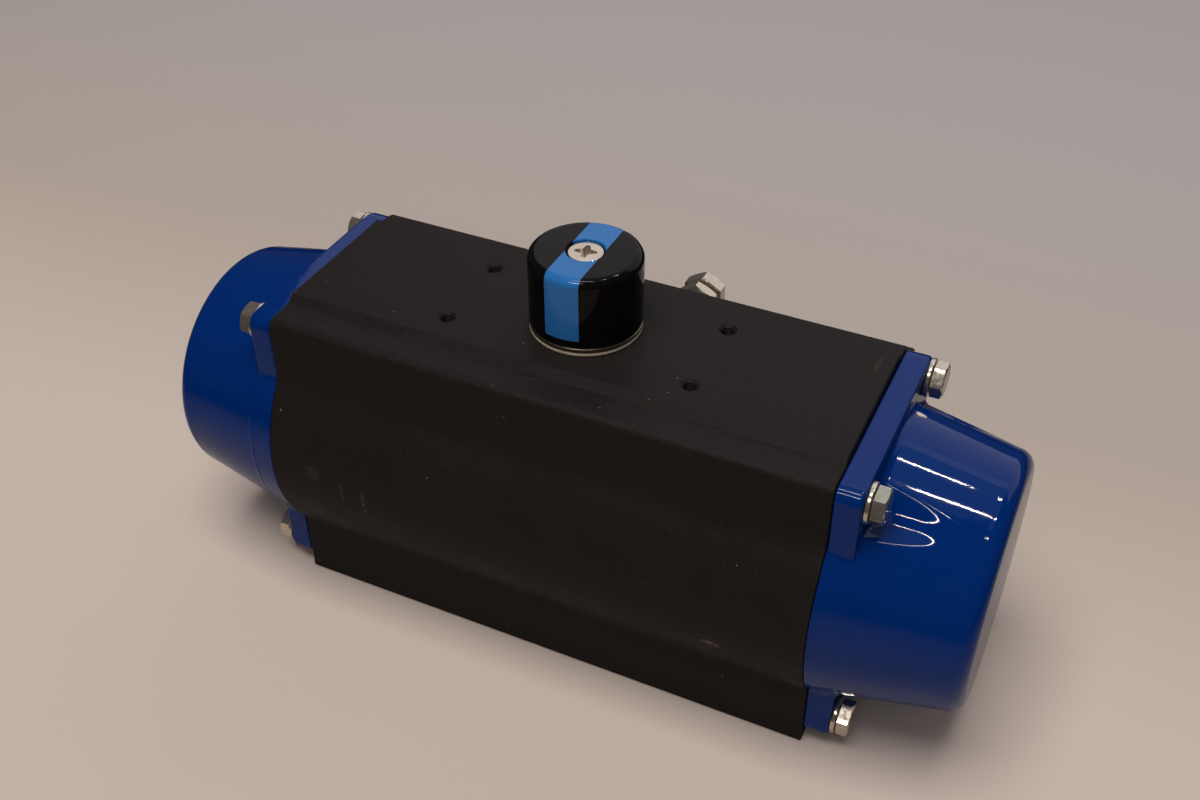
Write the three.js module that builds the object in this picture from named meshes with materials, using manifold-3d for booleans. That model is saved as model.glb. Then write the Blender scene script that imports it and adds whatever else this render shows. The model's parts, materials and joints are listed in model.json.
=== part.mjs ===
// Spring-return rack-and-pinion pneumatic actuator for a quarter-turn valve.
// Millimetres, +Z up, X along the cylinder bore. Everything is built about the pinion axis, and the
// whole assembly is then moved so that the middle of its bounding box stands over the origin.
// Rest position: no air, springs extended, both pistons in, indicator stripe across the body.

import * as THREE from "three";
import { mergeVertices } from "three/addons/utils/BufferGeometryUtils.js";
import Module from "manifold-3d";

const wasm = await Module();
wasm.setup();

// ---------------------------------------------------------------- driving dimensions

const GAP = 0.3; // clearance between neighbouring pieces
const WELD = 1e-4;

// extruded body
const BODY_L = 181;
const BODY_H = 108.5;
const HALF_L = BODY_L / 2;
const PAD_W = 24.5; // half width of the raised top pad
const SHOULDER_Z = BODY_H - 2.2;
const SHOULDER_W = 38;
const BACK_SHOULDER_W = 37.5; // the top corner along the back is rounder than the front one
const BACK_CORNER_R = 7;
const FOOT_W = 36.5;
const BULGE_R = 48; // round outside of the cylinder
const BACK_Z = [20, 96]; // flat port face on the back
const BORE_Z = 55;
const BORE_R = 42;

// interfaces
const TOP_PATTERN = [40, 15]; // half spacings, M5
const PORT_PATTERN = [16, 12]; // half spacings, M5
const PORT_X = 12;
const PORT_Z = 50;
const PORT_R = 5.9;
const BASE_PCD = 50; // M6
const HOLE_DEPTH = 11;
const PORT_DEPTH = 4.5;
const BOLT_DEPTH = 16; // threads for the cap bolts
const M5_R = 2.1;
const M6_R = 2.5;
const M8_R = 3.4;

// end caps
const FLANGE_T = 7.7;
const FLANGE_TOP = BODY_H - 2.8;
const FLANGE_BACK_R = 8;
const FLANGE_BOTTOM = 5;
const FLANGE_IN = HALF_L + GAP;
const FLANGE_OUT = FLANGE_IN + FLANGE_T;
const BARREL_R = [47.6, 46.2, 40.3]; // at the joint, at the flange's outer face, at the end
const CAP_END = 135.3;
const CAP_EDGE = 5.8; // rounding of the end
const CAVITY_R = [39, 34.5];
const CAP_WALL = 6;
const BOLT_Y = 30.5;
const BOLT_DZ = 44; // above and below the bore axis
const SCALLOP_R = 11.5; // spanner room beside each bolt

// gear: rack and pinion
const TEETH = 16;
const GEAR_MODULE = 1.75;
const PITCH_R = (TEETH * GEAR_MODULE) / 2;
const PRESSURE = THREE.MathUtils.degToRad(25);
const FLANK_PLAY = 0.1; // taken off each flank, measured on the pitch line
const GEAR_Z = [35, 75];
const RACK_Z = [37, 73];

// pistons, at rest
const HEAD_IN = 32;
const HEAD_T = 18;
const HEAD_OUT = HEAD_IN + HEAD_T;
const RACK_END = -28;
const RACK_BACK = 33;
const SPRING_PITCH_R = 21;
const SPRING_POCKET = 6;
const SPRING_ANGLES = [90, 210, 330];

// pinion
const FOOT_R = 17;
const FOOT_Z = [1, 33];
const SHAFT_R = 11.5;
const JOURNAL_R = 12;
const STEM_R = 11;
const STEM_TOP = BODY_H + 20;
const SOCKET = 17; // double-square drive socket
const SOCKET_DEPTH = 19;
const CAM_Z = [84.4, 91.6];
const CAM_R = 21;
const CAM_FLAT = 9.5; // half distance across the driving flats
const BUSH_FOOT = [FOOT_R + 3, 9.4]; // pocket radius, and height of its roof
const BUSH_TOP = [JOURNAL_R + 2.6, 101]; // pocket radius, and height of its floor
const CAM_POCKET = [CAM_R + 3, 78, CAM_Z[1] + 1.9]; // radius, floor and roof
const SEAT_DEPTH = 0.3; // spot face round the pinion hole

// stops
const STOP_X = 16;
const STOP_Z = 88.5;
const STOP_TIP = 10;
const STOP_REACH = 61; // outer face of the stop screw's head
const STOP_HEAD_T = 5;
const HEX_M8 = 13;

// indicator
const IND_R = 17.3;
const IND_Z = [BODY_H + 2.9, BODY_H + 26.1];
const IND_EDGE = 2.4;
const IND_WALL = 2.7;
const STRIPE_W = 11;
const STRIPE_T = 1.2;
const STRIPE_BOTTOM = IND_Z[0] + 2.4;
const RECESS_R = 6;
const THRUST_Z = [BODY_H, BODY_H + 1]; // plastic ring on the spot face
const WASHER_Z = [BODY_H + 1.3, BODY_H + 2.6];

// the pinion axis stands off the middle of the box, because the stop screws reach further back
const AXIS_Y = (BULGE_R - STOP_REACH) / 2;

// ---------------------------------------------------------------- finishes

function finish(color, roughness, metalness) {
  return () => new THREE.MeshStandardMaterial({ color, roughness, metalness });
}

const blackAnodised = finish(0x26221f, 0.55, 0.6);
const bluePaint = finish(0x0b3a8c, 0.2, 0.1);
const stainless = finish(0xb9b4aa, 0.35, 1);
const platedSteel = finish(0xa9a79f, 0.3, 1);
const castAluminium = finish(0x9c9d9f, 0.5, 1);
const blackRubber = finish(0x151515, 0.8, 0);
const whitePlastic = finish(0xe6e3d8, 0.6, 0);
const glossBlack = finish(0x120f10, 0.15, 0);
const glossBlue = finish(0x2f78c4, 0.2, 0);
const springSteel = finish(0x3d3f45, 0.45, 0.9);

// ---------------------------------------------------------------- solids and booleans

function solidOf(geometry) {
  geometry.deleteAttribute("normal");
  geometry.deleteAttribute("uv");
  const merged = mergeVertices(geometry, WELD);
  const points = merged.attributes.position.array;
  const index = merged.index.array;
  const triangles = [];
  let volume = 0;
  const [a, b, c] = [new THREE.Vector3(), new THREE.Vector3(), new THREE.Vector3()];
  for (let i = 0; i < index.length; i += 3) {
    const [p, q, r] = index.slice(i, i + 3);
    if (p === q || q === r || r === p) continue;
    triangles.push(p, q, r);
    volume += a.fromArray(points, 3 * p).dot(b.fromArray(points, 3 * q).cross(c.fromArray(points, 3 * r)));
  }
  if (volume < 0) triangles.reverse();
  const mesh = new wasm.Mesh({
    numProp: 3,
    vertProperties: new Float32Array(points),
    triVerts: new Uint32Array(triangles),
  });
  return new wasm.Manifold(mesh);
}

function cut(solid, ...tools) {
  return tools.reduce((left, tool) => left.subtract(tool), solid);
}

function join(...solids) {
  return solids.reduce((left, solid) => left.add(solid));
}

function geometryOf(solid) {
  const { vertProperties, triVerts } = solid.getMesh();
  const geometry = new THREE.BufferGeometry();
  geometry.setAttribute("position", new THREE.BufferAttribute(vertProperties.slice(), 3));
  geometry.setIndex(new THREE.BufferAttribute(triVerts.slice(), 1));
  geometry.computeVertexNormals();
  return geometry;
}

function part(name, solid, material) {
  const mesh = new THREE.Mesh(geometryOf(solid), material());
  mesh.name = name;
  return mesh;
}

// ---------------------------------------------------------------- basic shapes

const ALONG_X = new THREE.Matrix4().makeBasis(
  new THREE.Vector3(0, 1, 0),
  new THREE.Vector3(0, 0, 1),
  new THREE.Vector3(1, 0, 0),
);

function shapeOf(points) {
  return new THREE.Shape(points.map(([u, v]) => new THREE.Vector2(u, v)));
}

// an outline in (x, y), raised from z0 to z1
function raised(points, z0, z1) {
  const geometry = new THREE.ExtrudeGeometry(shapeOf(points), { depth: z1 - z0, bevelEnabled: false });
  return solidOf(geometry.translate(0, 0, z0));
}

// an outline in (y, z), run from x0 to x1
function runAlongX(points, x0, x1) {
  const geometry = new THREE.ExtrudeGeometry(shapeOf(points), { depth: x1 - x0, bevelEnabled: false });
  return solidOf(geometry.applyMatrix4(ALONG_X).translate(x0, 0, 0));
}

// a closed profile of (radius, height) turned about an axis
function turned(profile, axis, segments, centre = [0, 0, 0]) {
  const points = [...profile, profile[0]].map(([r, h]) => new THREE.Vector2(r, h));
  const geometry = new THREE.LatheGeometry(points, segments);
  if (axis === "z") geometry.rotateX(Math.PI / 2);
  if (axis === "x") geometry.rotateZ(-Math.PI / 2);
  return solidOf(geometry.translate(...centre));
}

function rod(axis, r, h0, h1, segments, centre) {
  return turned([[0, h0], [r, h0], [r, h1], [0, h1]], axis, segments, centre);
}

function tube(axis, inner, outer, h0, h1, segments, centre) {
  return turned([[inner, h0], [outer, h0], [outer, h1], [inner, h1]], axis, segments, centre);
}

function box(x0, x1, y0, y1, z0, z1) {
  const geometry = new THREE.BoxGeometry(x1 - x0, y1 - y0, z1 - z0);
  return solidOf(geometry.translate((x0 + x1) / 2, (y0 + y1) / 2, (z0 + z1) / 2));
}

function ring(axis, ringR, wireR, height, segments, centre, sides = 5) {
  const profile = [];
  for (let i = 0; i < sides; i++) {
    const a = (2 * Math.PI * i) / sides;
    profile.push([ringR + wireR * Math.cos(a), height + wireR * Math.sin(a)]);
  }
  return turned(profile, axis, segments, centre);
}

function arc(cu, cv, r, from, to, steps) {
  const points = [];
  for (let i = 0; i <= steps; i++) {
    const a = THREE.MathUtils.degToRad(from + ((to - from) * i) / steps);
    points.push([cu + r * Math.cos(a), cv + r * Math.sin(a)]);
  }
  return points;
}

function hexagon(acrossFlats) {
  return arc(0, 0, acrossFlats / Math.sqrt(3), 30, 330, 5);
}

const LARGE = 40; // sides of the big circles
const MEDIUM = 28;
const SMALL = 10;

const inBore = [0, 0, BORE_Z];

// ---------------------------------------------------------------- body

function bodyOutline() {
  const low = THREE.MathUtils.radToDeg(Math.asin((BORE_Z - 26.6) / BULGE_R));
  const high = THREE.MathUtils.radToDeg(Math.asin((80 - BORE_Z) / BULGE_R));
  return [
    [FOOT_W, 0],
    [FOOT_W, BACK_Z[0] - 5],
    [BULGE_R, BACK_Z[0]],
    [BULGE_R, BACK_Z[1] - 1],
    [BULGE_R - 1, BACK_Z[1]],
    [BACK_SHOULDER_W, BACK_Z[1] + 2],
    ...arc(BACK_SHOULDER_W - BACK_CORNER_R, SHOULDER_Z - BACK_CORNER_R, BACK_CORNER_R, 0, 90, 5),
    [PAD_W + 2.5, SHOULDER_Z],
    [PAD_W, BODY_H],
    [-PAD_W, BODY_H],
    [-PAD_W - 2.5, SHOULDER_Z],
    ...arc(3 - SHOULDER_W, SHOULDER_Z - 3, 3, 90, 180, 3),
    [-SHOULDER_W, 88],
    [-SHOULDER_W - 0.6, 84.5],
    ...arc(0, BORE_Z, BULGE_R, 180 - high, 180 + low, 12),
    [-FOOT_W - 0.8, 25],
    [-FOOT_W, 23],
    [-FOOT_W, 0],
  ];
}

function crossHoles(half, r, z0, z1) {
  const [hx, hy] = half;
  return [-1, 1].flatMap((sx) => [-1, 1].map((sy) => rod("z", r, z0, z1, SMALL, [sx * hx, sy * hy, 0])));
}

function boltCentres() {
  return [-1, 1].flatMap((sy) => [-1, 1].map((sz) => [sy * BOLT_Y, BORE_Z + sz * BOLT_DZ]));
}

function makeBody() {
  const blank = runAlongX(bodyOutline(), -HALF_L, HALF_L);
  const bore = rod("x", BORE_R, -HALF_L - 1, HALF_L + 1, LARGE, inBore);
  const pinionHoles = [
    rod("z", BUSH_FOOT[0], -1, BUSH_FOOT[1], LARGE),
    rod("z", FOOT_R + 0.4, -1, BORE_Z, LARGE),
    rod("z", JOURNAL_R + 0.4, BORE_Z, BODY_H + 1, MEDIUM),
    rod("z", BUSH_TOP[0], BUSH_TOP[1], BODY_H + 1, MEDIUM),
    rod("z", CAM_POCKET[0], CAM_POCKET[1], CAM_POCKET[2], LARGE),
    rod("z", IND_R + GAP, BODY_H - SEAT_DEPTH, BODY_H + 1, LARGE),
  ];
  const topHoles = crossHoles(TOP_PATTERN, M5_R, BODY_H - HOLE_DEPTH, BODY_H + 1);
  const baseSpacing = BASE_PCD / 2 / Math.SQRT2;
  const baseHoles = crossHoles([baseSpacing, baseSpacing], M6_R, -1, HOLE_DEPTH);
  const endHoles = boltCentres().flatMap(([y, z]) => [
    rod("x", M6_R + 0.7, HALF_L - BOLT_DEPTH, HALF_L + 1, SMALL, [0, y, z]),
    rod("x", M6_R + 0.7, -HALF_L - 1, BOLT_DEPTH - HALF_L, SMALL, [0, y, z]),
  ]);
  return cut(blank, bore, ...pinionHoles, ...topHoles, ...baseHoles, ...endHoles, ...backHoles());
}

function alongY(r, y0, y1, segments, x, z) {
  const geometry = new THREE.CylinderGeometry(r, r, y1 - y0, segments);
  return solidOf(geometry.translate(x, (y0 + y1) / 2, z));
}

// stop screw threads, two air ports, one of them drilled into the centre chamber, and valve screws
function backHoles() {
  const holes = [];
  for (const sx of [-1, 1]) {
    holes.push(alongY(M8_R + 0.9, 15, BULGE_R + 1, 16, sx * STOP_X, STOP_Z));
    holes.push(alongY(PORT_R, BULGE_R - PORT_DEPTH, BULGE_R + 1, 20, sx * PORT_X, PORT_Z));
    for (const sz of [-1, 1]) {
      const z = PORT_Z + sz * PORT_PATTERN[1];
      holes.push(alongY(M5_R, BULGE_R - PORT_DEPTH, BULGE_R + 1, SMALL, sx * PORT_PATTERN[0], z));
    }
  }
  holes.push(alongY(2, BORE_R - 3, BULGE_R, SMALL, -PORT_X, PORT_Z));
  return holes;
}

// ---------------------------------------------------------------- end caps

// the left cap is placed half a turn round, so its outline is mirrored to keep the rounder corner at the back
function flangeOutline(side) {
  const r = 4;
  const outline = [
    ...arc(FOOT_W - r, FLANGE_BOTTOM + r, r, -90, 0, 3),
    ...arc(BACK_SHOULDER_W - FLANGE_BACK_R, FLANGE_TOP - FLANGE_BACK_R, FLANGE_BACK_R, 0, 90, 5),
    ...arc(r - SHOULDER_W, FLANGE_TOP - r, r, 90, 180, 3),
    ...arc(r - FOOT_W, FLANGE_BOTTOM + r, r, 180, 270, 3),
  ];
  return side === "left" ? outline.map(([y, z]) => [-y, z]).reverse() : outline;
}

function makeCap(side) {
  const flange = runAlongX(flangeOutline(side), FLANGE_IN, FLANGE_OUT);
  const edge = arc(BARREL_R[2] - CAP_EDGE, CAP_END - CAP_EDGE, CAP_EDGE, 12, 90, 4);
  const barrel = turned(
    [[0, FLANGE_IN], [BARREL_R[0], FLANGE_IN], [BARREL_R[1], FLANGE_OUT], ...edge, [0, CAP_END]],
    "x",
    LARGE,
    inBore,
  );
  const cavity = turned(
    [[0, FLANGE_IN - 1], [CAVITY_R[0], FLANGE_IN - 1], [CAVITY_R[1], CAP_END - CAP_WALL], [0, CAP_END - CAP_WALL]],
    "x",
    MEDIUM,
    inBore,
  );
  const groove = tube("x", 43, 46.2, FLANGE_IN - 1, FLANGE_IN + 2.7, LARGE, inBore);
  const boltHoles = boltCentres().map(([y, z]) => rod("x", 3.4, FLANGE_IN - 1, FLANGE_OUT + 1, SMALL, [0, y, z]));
  const scallops = boltCentres().map(([y, z]) => rod("x", SCALLOP_R, FLANGE_OUT, CAP_END + 1, 16, [0, y, z]));
  return cut(join(flange, cut(barrel, ...scallops)), cavity, groove, ...boltHoles);
}

function makeCapSeal() {
  return ring("x", 44.6, 1.2, FLANGE_IN + 1.2, MEDIUM + 4, inBore, 4);
}

const WASHER_T = 1.4;
const HEX_M6 = 10;

function makeWasher() {
  return tube("x", 3.4, 6, GAP, GAP + WASHER_T, 14);
}

// seat of the head on the washer at h = 0, shank towards -X
function makeCapBolt() {
  const head = runAlongX(hexagon(HEX_M6), 0, 4);
  const chamfer = turned([[0, -1], [8, -1], [8, 2.9], [4.7, 4.6], [0, 4.6]], "x", 12);
  return join(head.intersect(chamfer), rod("x", 2.9, -22, 1, SMALL - 2));
}

// ---------------------------------------------------------------- rack teeth

// rack outline in (x, y) for the rack on the -Y side, teeth towards +Y
function rackOutline() {
  const pitch = Math.PI * GEAR_MODULE;
  const half = pitch / 4 - FLANK_PLAY;
  const tipY = -PITCH_R + GEAR_MODULE;
  const rootY = -PITCH_R - 1.25 * GEAR_MODULE;
  const tipHalf = half - GEAR_MODULE * Math.tan(PRESSURE);
  const rootHalf = half + 1.25 * GEAR_MODULE * Math.tan(PRESSURE);
  const points = [[HEAD_IN + 1, rootY]];
  const last = Math.floor((HEAD_IN - rootHalf - 0.5 * pitch) / pitch);
  const first = Math.ceil((RACK_END + rootHalf - 0.5 * pitch) / pitch);
  for (let k = last; k >= first; k--) {
    const x = (k + 0.5) * pitch;
    points.push([x + rootHalf, rootY], [x + tipHalf, tipY], [x - tipHalf, tipY], [x - rootHalf, rootY]);
  }
  points.push([RACK_END, rootY], [RACK_END, -RACK_BACK], [HEAD_IN + 1, -RACK_BACK]);
  return points;
}

// ---------------------------------------------------------------- pistons

function springCentres() {
  return SPRING_ANGLES.map((angle) => {
    const a = THREE.MathUtils.degToRad(angle);
    return [0, SPRING_PITCH_R * Math.cos(a), BORE_Z + SPRING_PITCH_R * Math.sin(a)];
  });
}

function makePiston() {
  const r = BORE_R - 0.4;
  const head = rod("x", r, HEAD_IN, HEAD_OUT, LARGE, inBore);
  const bandGroove = tube("x", r - 2, r + 5, HEAD_IN + 3, HEAD_IN + 8, LARGE, inBore);
  const ringGroove = tube("x", r - 3.2, r + 5, HEAD_IN + 10.5, HEAD_IN + 14.3, LARGE, inBore);
  const pockets = springCentres().map((c) => rod("x", 12, HEAD_OUT - SPRING_POCKET, HEAD_OUT + 1, 16, c));
  const rack = raised(rackOutline(), RACK_Z[0], RACK_Z[1]);
  return join(cut(head, bandGroove, ringGroove, ...pockets), rack);
}

function makePistonBand() {
  return tube("x", BORE_R - 2.1, BORE_R - GAP, HEAD_IN + 3 + GAP, HEAD_IN + 8 - GAP, LARGE, inBore);
}

function makePistonRing() {
  return ring("x", BORE_R - GAP - 1.5, 1.5, HEAD_IN + 12.4, LARGE, inBore, 4);
}

// acetal pad on the rack's back, riding on the bore
function makeRackPad() {
  const block = box(-24, 8, -BORE_R, -RACK_BACK - GAP, BORE_Z - 11, BORE_Z + 11);
  return block.intersect(rod("x", BORE_R - GAP, -30, 20, LARGE, inBore));
}

// ---------------------------------------------------------------- springs

class Helix extends THREE.Curve {
  constructor(radius, length, turns) {
    super();
    Object.assign(this, { radius, length, turns });
  }

  getPoint(t, target = new THREE.Vector3()) {
    const a = 2 * Math.PI * this.turns * t;
    return target.set(this.length * t, this.radius * Math.cos(a), this.radius * Math.sin(a));
  }
}

const SPRING_WIRE = 1.3;
const SPRING_COIL_R = 9.4;
const SPRING_TURNS = 5;
const SPRING_START = HEAD_OUT - SPRING_POCKET + GAP + SPRING_WIRE;
const SPRING_LENGTH = CAP_END - CAP_WALL - GAP - SPRING_WIRE - SPRING_START;

function makeSpring() {
  const section = shapeOf(arc(0, 0, SPRING_WIRE, 0, 270, 3));
  const geometry = new THREE.ExtrudeGeometry(section, {
    steps: SPRING_TURNS * 7,
    extrudePath: new Helix(SPRING_COIL_R, SPRING_LENGTH, SPRING_TURNS),
    bevelEnabled: false,
  });
  return solidOf(geometry);
}

// ---------------------------------------------------------------- pinion group

function involute(angle) {
  return Math.tan(angle) - angle;
}

// pinion outline with a tooth centred on every multiple of the angular pitch
function pinionOutline() {
  const baseR = PITCH_R * Math.cos(PRESSURE);
  const tipR = PITCH_R + GEAR_MODULE;
  const rootR = PITCH_R - 1.25 * GEAR_MODULE;
  const halfAtPitch = Math.PI / (2 * TEETH) - FLANK_PLAY / PITCH_R;
  const flank = [];
  for (const share of [0, 0.5, 1]) {
    const r = baseR + (tipR - baseR) * share;
    flank.push([r, halfAtPitch + involute(PRESSURE) - involute(Math.acos(baseR / r))]);
  }
  const points = [];
  for (let tooth = 0; tooth < TEETH; tooth++) {
    const centre = (2 * Math.PI * tooth) / TEETH;
    const at = ([r, a]) => [r * Math.cos(centre + a), r * Math.sin(centre + a)];
    points.push(at([rootR, -flank[0][1]]));
    points.push(...flank.map(([r, a]) => at([r, -a])));
    points.push(...flank.toReversed().map(([r, a]) => at([r, a])));
    points.push(at([rootR, flank[0][1]]));
  }
  return points;
}

function makePinion() {
  const grooveLow = [[14.6, 9.6], [14.6, 12.6]];
  const grooveTop = [[9.9, 97.6], [9.9, 100.2]];
  const clipGroove = [[9.8, BODY_H + 3], [9.8, BODY_H + 4.6]];
  const turnedShaft = turned(
    [
      [0, FOOT_Z[0]],
      [FOOT_R - 1, FOOT_Z[0]],
      [FOOT_R, FOOT_Z[0] + 1],
      [FOOT_R, grooveLow[0][1]],
      ...grooveLow,
      [FOOT_R, grooveLow[1][1]],
      [FOOT_R, FOOT_Z[1]],
      [SHAFT_R, FOOT_Z[1] + 2],
      [SHAFT_R, CAM_Z[1] + 0.6],
      [JOURNAL_R, CAM_Z[1] + 1.1],
      [JOURNAL_R, grooveTop[0][1]],
      ...grooveTop,
      [JOURNAL_R, grooveTop[1][1]],
      [JOURNAL_R, BODY_H + 1],
      [STEM_R, BODY_H + 1.4],
      [STEM_R, clipGroove[0][1]],
      ...clipGroove,
      [STEM_R, clipGroove[1][1]],
      [STEM_R, STEM_TOP - 1],
      [STEM_R - 1, STEM_TOP],
      [0, STEM_TOP],
    ],
    "z",
    MEDIUM,
  );
  const gear = raised(pinionOutline(), GEAR_Z[0], GEAR_Z[1]);
  const square = box(-SOCKET / 2, SOCKET / 2, -SOCKET / 2, SOCKET / 2, 0, FOOT_Z[0] + SOCKET_DEPTH);
  const tools = [
    square,
    square.rotate([0, 0, 45]),
    rod("z", M6_R + 0.6, STEM_TOP - 14, STEM_TOP + 1, SMALL),
    box(-2, 2, -STEM_R - 1, STEM_R + 1, STEM_TOP - 4, STEM_TOP + 1),
  ];
  for (const side of [-1, 1]) {
    const flat = box(CAM_FLAT, SHAFT_R + 2, -SHAFT_R, SHAFT_R, CAM_Z[0] - 1, CAM_Z[1] + 0.3);
    const stemFlat = box(STEM_R - 2, STEM_R + 1, -STEM_R, STEM_R, BODY_H + 8, STEM_TOP + 1);
    tools.push(side > 0 ? flat : flat.rotate([0, 0, 180]), side > 0 ? stemFlat : stemFlat.rotate([0, 0, 180]));
  }
  return cut(join(turnedShaft, gear), ...tools);
}

// fan-shaped stop cam: one edge meets each stop screw, a quarter turn apart
function makeCam() {
  const contact = STOP_TIP - GAP;
  const fromAngle = THREE.MathUtils.radToDeg(Math.PI - Math.asin(contact / CAM_R));
  const points = [
    [-SHAFT_R - 0.5, contact],
    ...arc(0, 0, CAM_R, fromAngle, 450 - fromAngle, 16),
    [contact, -SHAFT_R - 0.5],
    ...arc(0, 0, 15.5, -48, 138, 12),
  ];
  const fan = raised(points, CAM_Z[0], CAM_Z[1]);
  const flat = CAM_FLAT + GAP;
  const seat = rod("z", SHAFT_R + GAP, 80, 100, 24).intersect(box(-flat, flat, -20, 20, 70, 100));
  return cut(fan, seat);
}

function makeCirclip() {
  const whole = tube("z", 10.1, 13.8, BODY_H + 3.2, BODY_H + 4.4, 24);
  return cut(whole, box(-2.5, 2.5, 5, 20, BODY_H, BODY_H + 10));
}

// ---------------------------------------------------------------- indicator

function indicatorSkin(inset) {
  const edge = IND_EDGE - inset / 2;
  const r = IND_R - inset;
  const top = IND_Z[1] - inset;
  return turned([[0, IND_Z[0]], [r, IND_Z[0]], ...arc(r - edge, top - edge, edge, 0, 90, 3), [0, top]], "z", LARGE);
}

function stripeBand(halfWidth, bottom) {
  return box(-halfWidth, halfWidth, -IND_R - 1, IND_R + 1, bottom, IND_Z[1] + 1);
}

function makeIndicator() {
  const roof = IND_Z[1] - 5.2;
  const shell = cut(indicatorSkin(0), rod("z", IND_R - IND_WALL, IND_Z[0] - 1, roof, MEDIUM));
  const tongue = box(-1.7, 1.7, -9, 9, STEM_TOP - 3, roof + 1);
  const channel = cut(stripeBand(STRIPE_W / 2, STRIPE_BOTTOM), indicatorSkin(STRIPE_T));
  const recess = turned(
    [[0, STEM_TOP - 4], [3.3, STEM_TOP - 4], [3.3, IND_Z[1] - 4], [RECESS_R, IND_Z[1] - 0.9],
      [RECESS_R, IND_Z[1] + 1], [0, IND_Z[1] + 1]],
    "z",
    24,
  );
  return cut(join(shell, tongue), channel, recess);
}

function makeStripe(side) {
  const band = stripeBand(STRIPE_W / 2 - GAP, STRIPE_BOTTOM + GAP);
  const inlay = cut(indicatorSkin(0).intersect(band), indicatorSkin(STRIPE_T - GAP));
  const trimmed = cut(inlay, rod("z", RECESS_R + GAP, 100, 150, 24));
  const y = side * (IND_R + 2);
  return trimmed.intersect(box(-10, 10, Math.min(0, y), Math.max(0, y), 100, 150));
}

function makeIndicatorScrew() {
  const top = IND_Z[1] - 0.6;
  const blank = turned(
    [[0, STEM_TOP - 12], [2.7, STEM_TOP - 12], [2.7, top - 3.2], [5.4, top - 0.5], [5.4, top], [0, top]],
    "z",
    20,
  );
  const slots = [[2.6, 0.5], [0.5, 2.6]].map(([x, y]) => box(-x, x, -y, y, top - 1.6, top + 1));
  return cut(blank, ...slots);
}

// ---------------------------------------------------------------- stops

// along +Y from the tip, head at the outer end
function makeStopScrew() {
  const headSeat = STOP_REACH - STOP_HEAD_T;
  const shank = alongY(3.9, STOP_TIP, headSeat + 1, 16, 0, 0);
  return join(shank, hexAlongY(HEX_M8, headSeat, STOP_REACH));
}

function hexAlongY(acrossFlats, y0, y1) {
  const corner = acrossFlats / Math.sqrt(3);
  const geometry = new THREE.CylinderGeometry(corner, corner, y1 - y0, 6).translate(0, (y0 + y1) / 2, 0);
  return solidOf(geometry);
}

function makeStopNut() {
  const y = BULGE_R + 2.2;
  return cut(hexAlongY(HEX_M8, y, y + 4), alongY(4.2, y - 1, y + 5, 16, 0, 0));
}

function makeStopSeal() {
  const y = BULGE_R + GAP;
  return cut(alongY(6.2, y, y + 1.6, 20, 0, 0), alongY(4.2, y - 1, y + 3, 16, 0, 0));
}

// ---------------------------------------------------------------- assembly

// everything that is repeated at the two ends of the body, half a turn apart
function makeEnd(side, angle) {
  const end = new THREE.Group();
  end.rotation.z = angle;
  end.add(part(`end_cap_${side}`, makeCap(side), bluePaint));
  end.add(part(`cap_seal_${side}`, makeCapSeal(), blackRubber));
  boltCentres().forEach(([y, z], i) => {
    const station = new THREE.Group();
    station.position.set(FLANGE_OUT, y, z);
    const bolt = part(`cap_bolt_${side}_${i + 1}`, makeCapBolt(), stainless);
    bolt.position.x = WASHER_T + 2 * GAP;
    station.add(part(`cap_washer_${side}_${i + 1}`, makeWasher(), stainless), bolt);
    end.add(station);
  });
  end.add(part(`piston_${side}`, makePiston(), castAluminium));
  end.add(part(`piston_band_${side}`, makePistonBand(), whitePlastic));
  end.add(part(`piston_ring_${side}`, makePistonRing(), blackRubber));
  end.add(part(`rack_pad_${side}`, makeRackPad(), whitePlastic));
  springCentres().forEach(([, y, z], i) => {
    const spring = part(`return_spring_${side}_${i + 1}`, makeSpring(), springSteel);
    spring.position.set(SPRING_START, y, z);
    end.add(spring);
  });
  return end;
}

function makeStops() {
  const stops = new THREE.Group();
  for (const [name, x] of [["closed", -STOP_X], ["open", STOP_X]]) {
    const stop = new THREE.Group();
    stop.position.set(x, 0, STOP_Z);
    stop.add(part(`stop_screw_${name}`, makeStopScrew(), stainless));
    stop.add(part(`stop_nut_${name}`, makeStopNut(), stainless));
    stop.add(part(`stop_seal_${name}`, makeStopSeal(), blackRubber));
    stops.add(stop);
  }
  return stops;
}

function makePinionGroup() {
  const group = new THREE.Group();
  const bushTop = tube("z", JOURNAL_R + GAP, BUSH_TOP[0] - GAP, BUSH_TOP[1] + GAP, BODY_H - 2 * GAP, MEDIUM);
  const bushFoot = tube("z", FOOT_R + GAP, BUSH_FOOT[0] - GAP, 1.5, BUSH_FOOT[1] - GAP, MEDIUM);
  const discIn = STEM_R + 1.3;
  group.add(part("pinion", makePinion(), platedSteel));
  group.add(part("pinion_bearing_top", bushTop, whitePlastic));
  group.add(part("pinion_bearing_bottom", bushFoot, whitePlastic));
  group.add(part("pinion_ring_top", ring("z", 11.1, 0.9, 98.9, 24), blackRubber));
  group.add(part("pinion_ring_bottom", ring("z", 16, 1.1, 11.1, 24), blackRubber));
  group.add(part("stop_cam", makeCam(), platedSteel));
  group.add(part("thrust_bearing", tube("z", discIn, IND_R, ...THRUST_Z, MEDIUM), whitePlastic));
  group.add(part("thrust_washer", tube("z", discIn, IND_R, ...WASHER_Z, MEDIUM), stainless));
  group.add(part("circlip", makeCirclip(), springSteel));
  group.add(part("indicator", makeIndicator(), glossBlack));
  group.add(part("indicator_stripe_front", makeStripe(-1), glossBlue));
  group.add(part("indicator_stripe_back", makeStripe(1), glossBlue));
  group.add(part("indicator_screw", makeIndicatorScrew(), stainless));
  return group;
}

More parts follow.
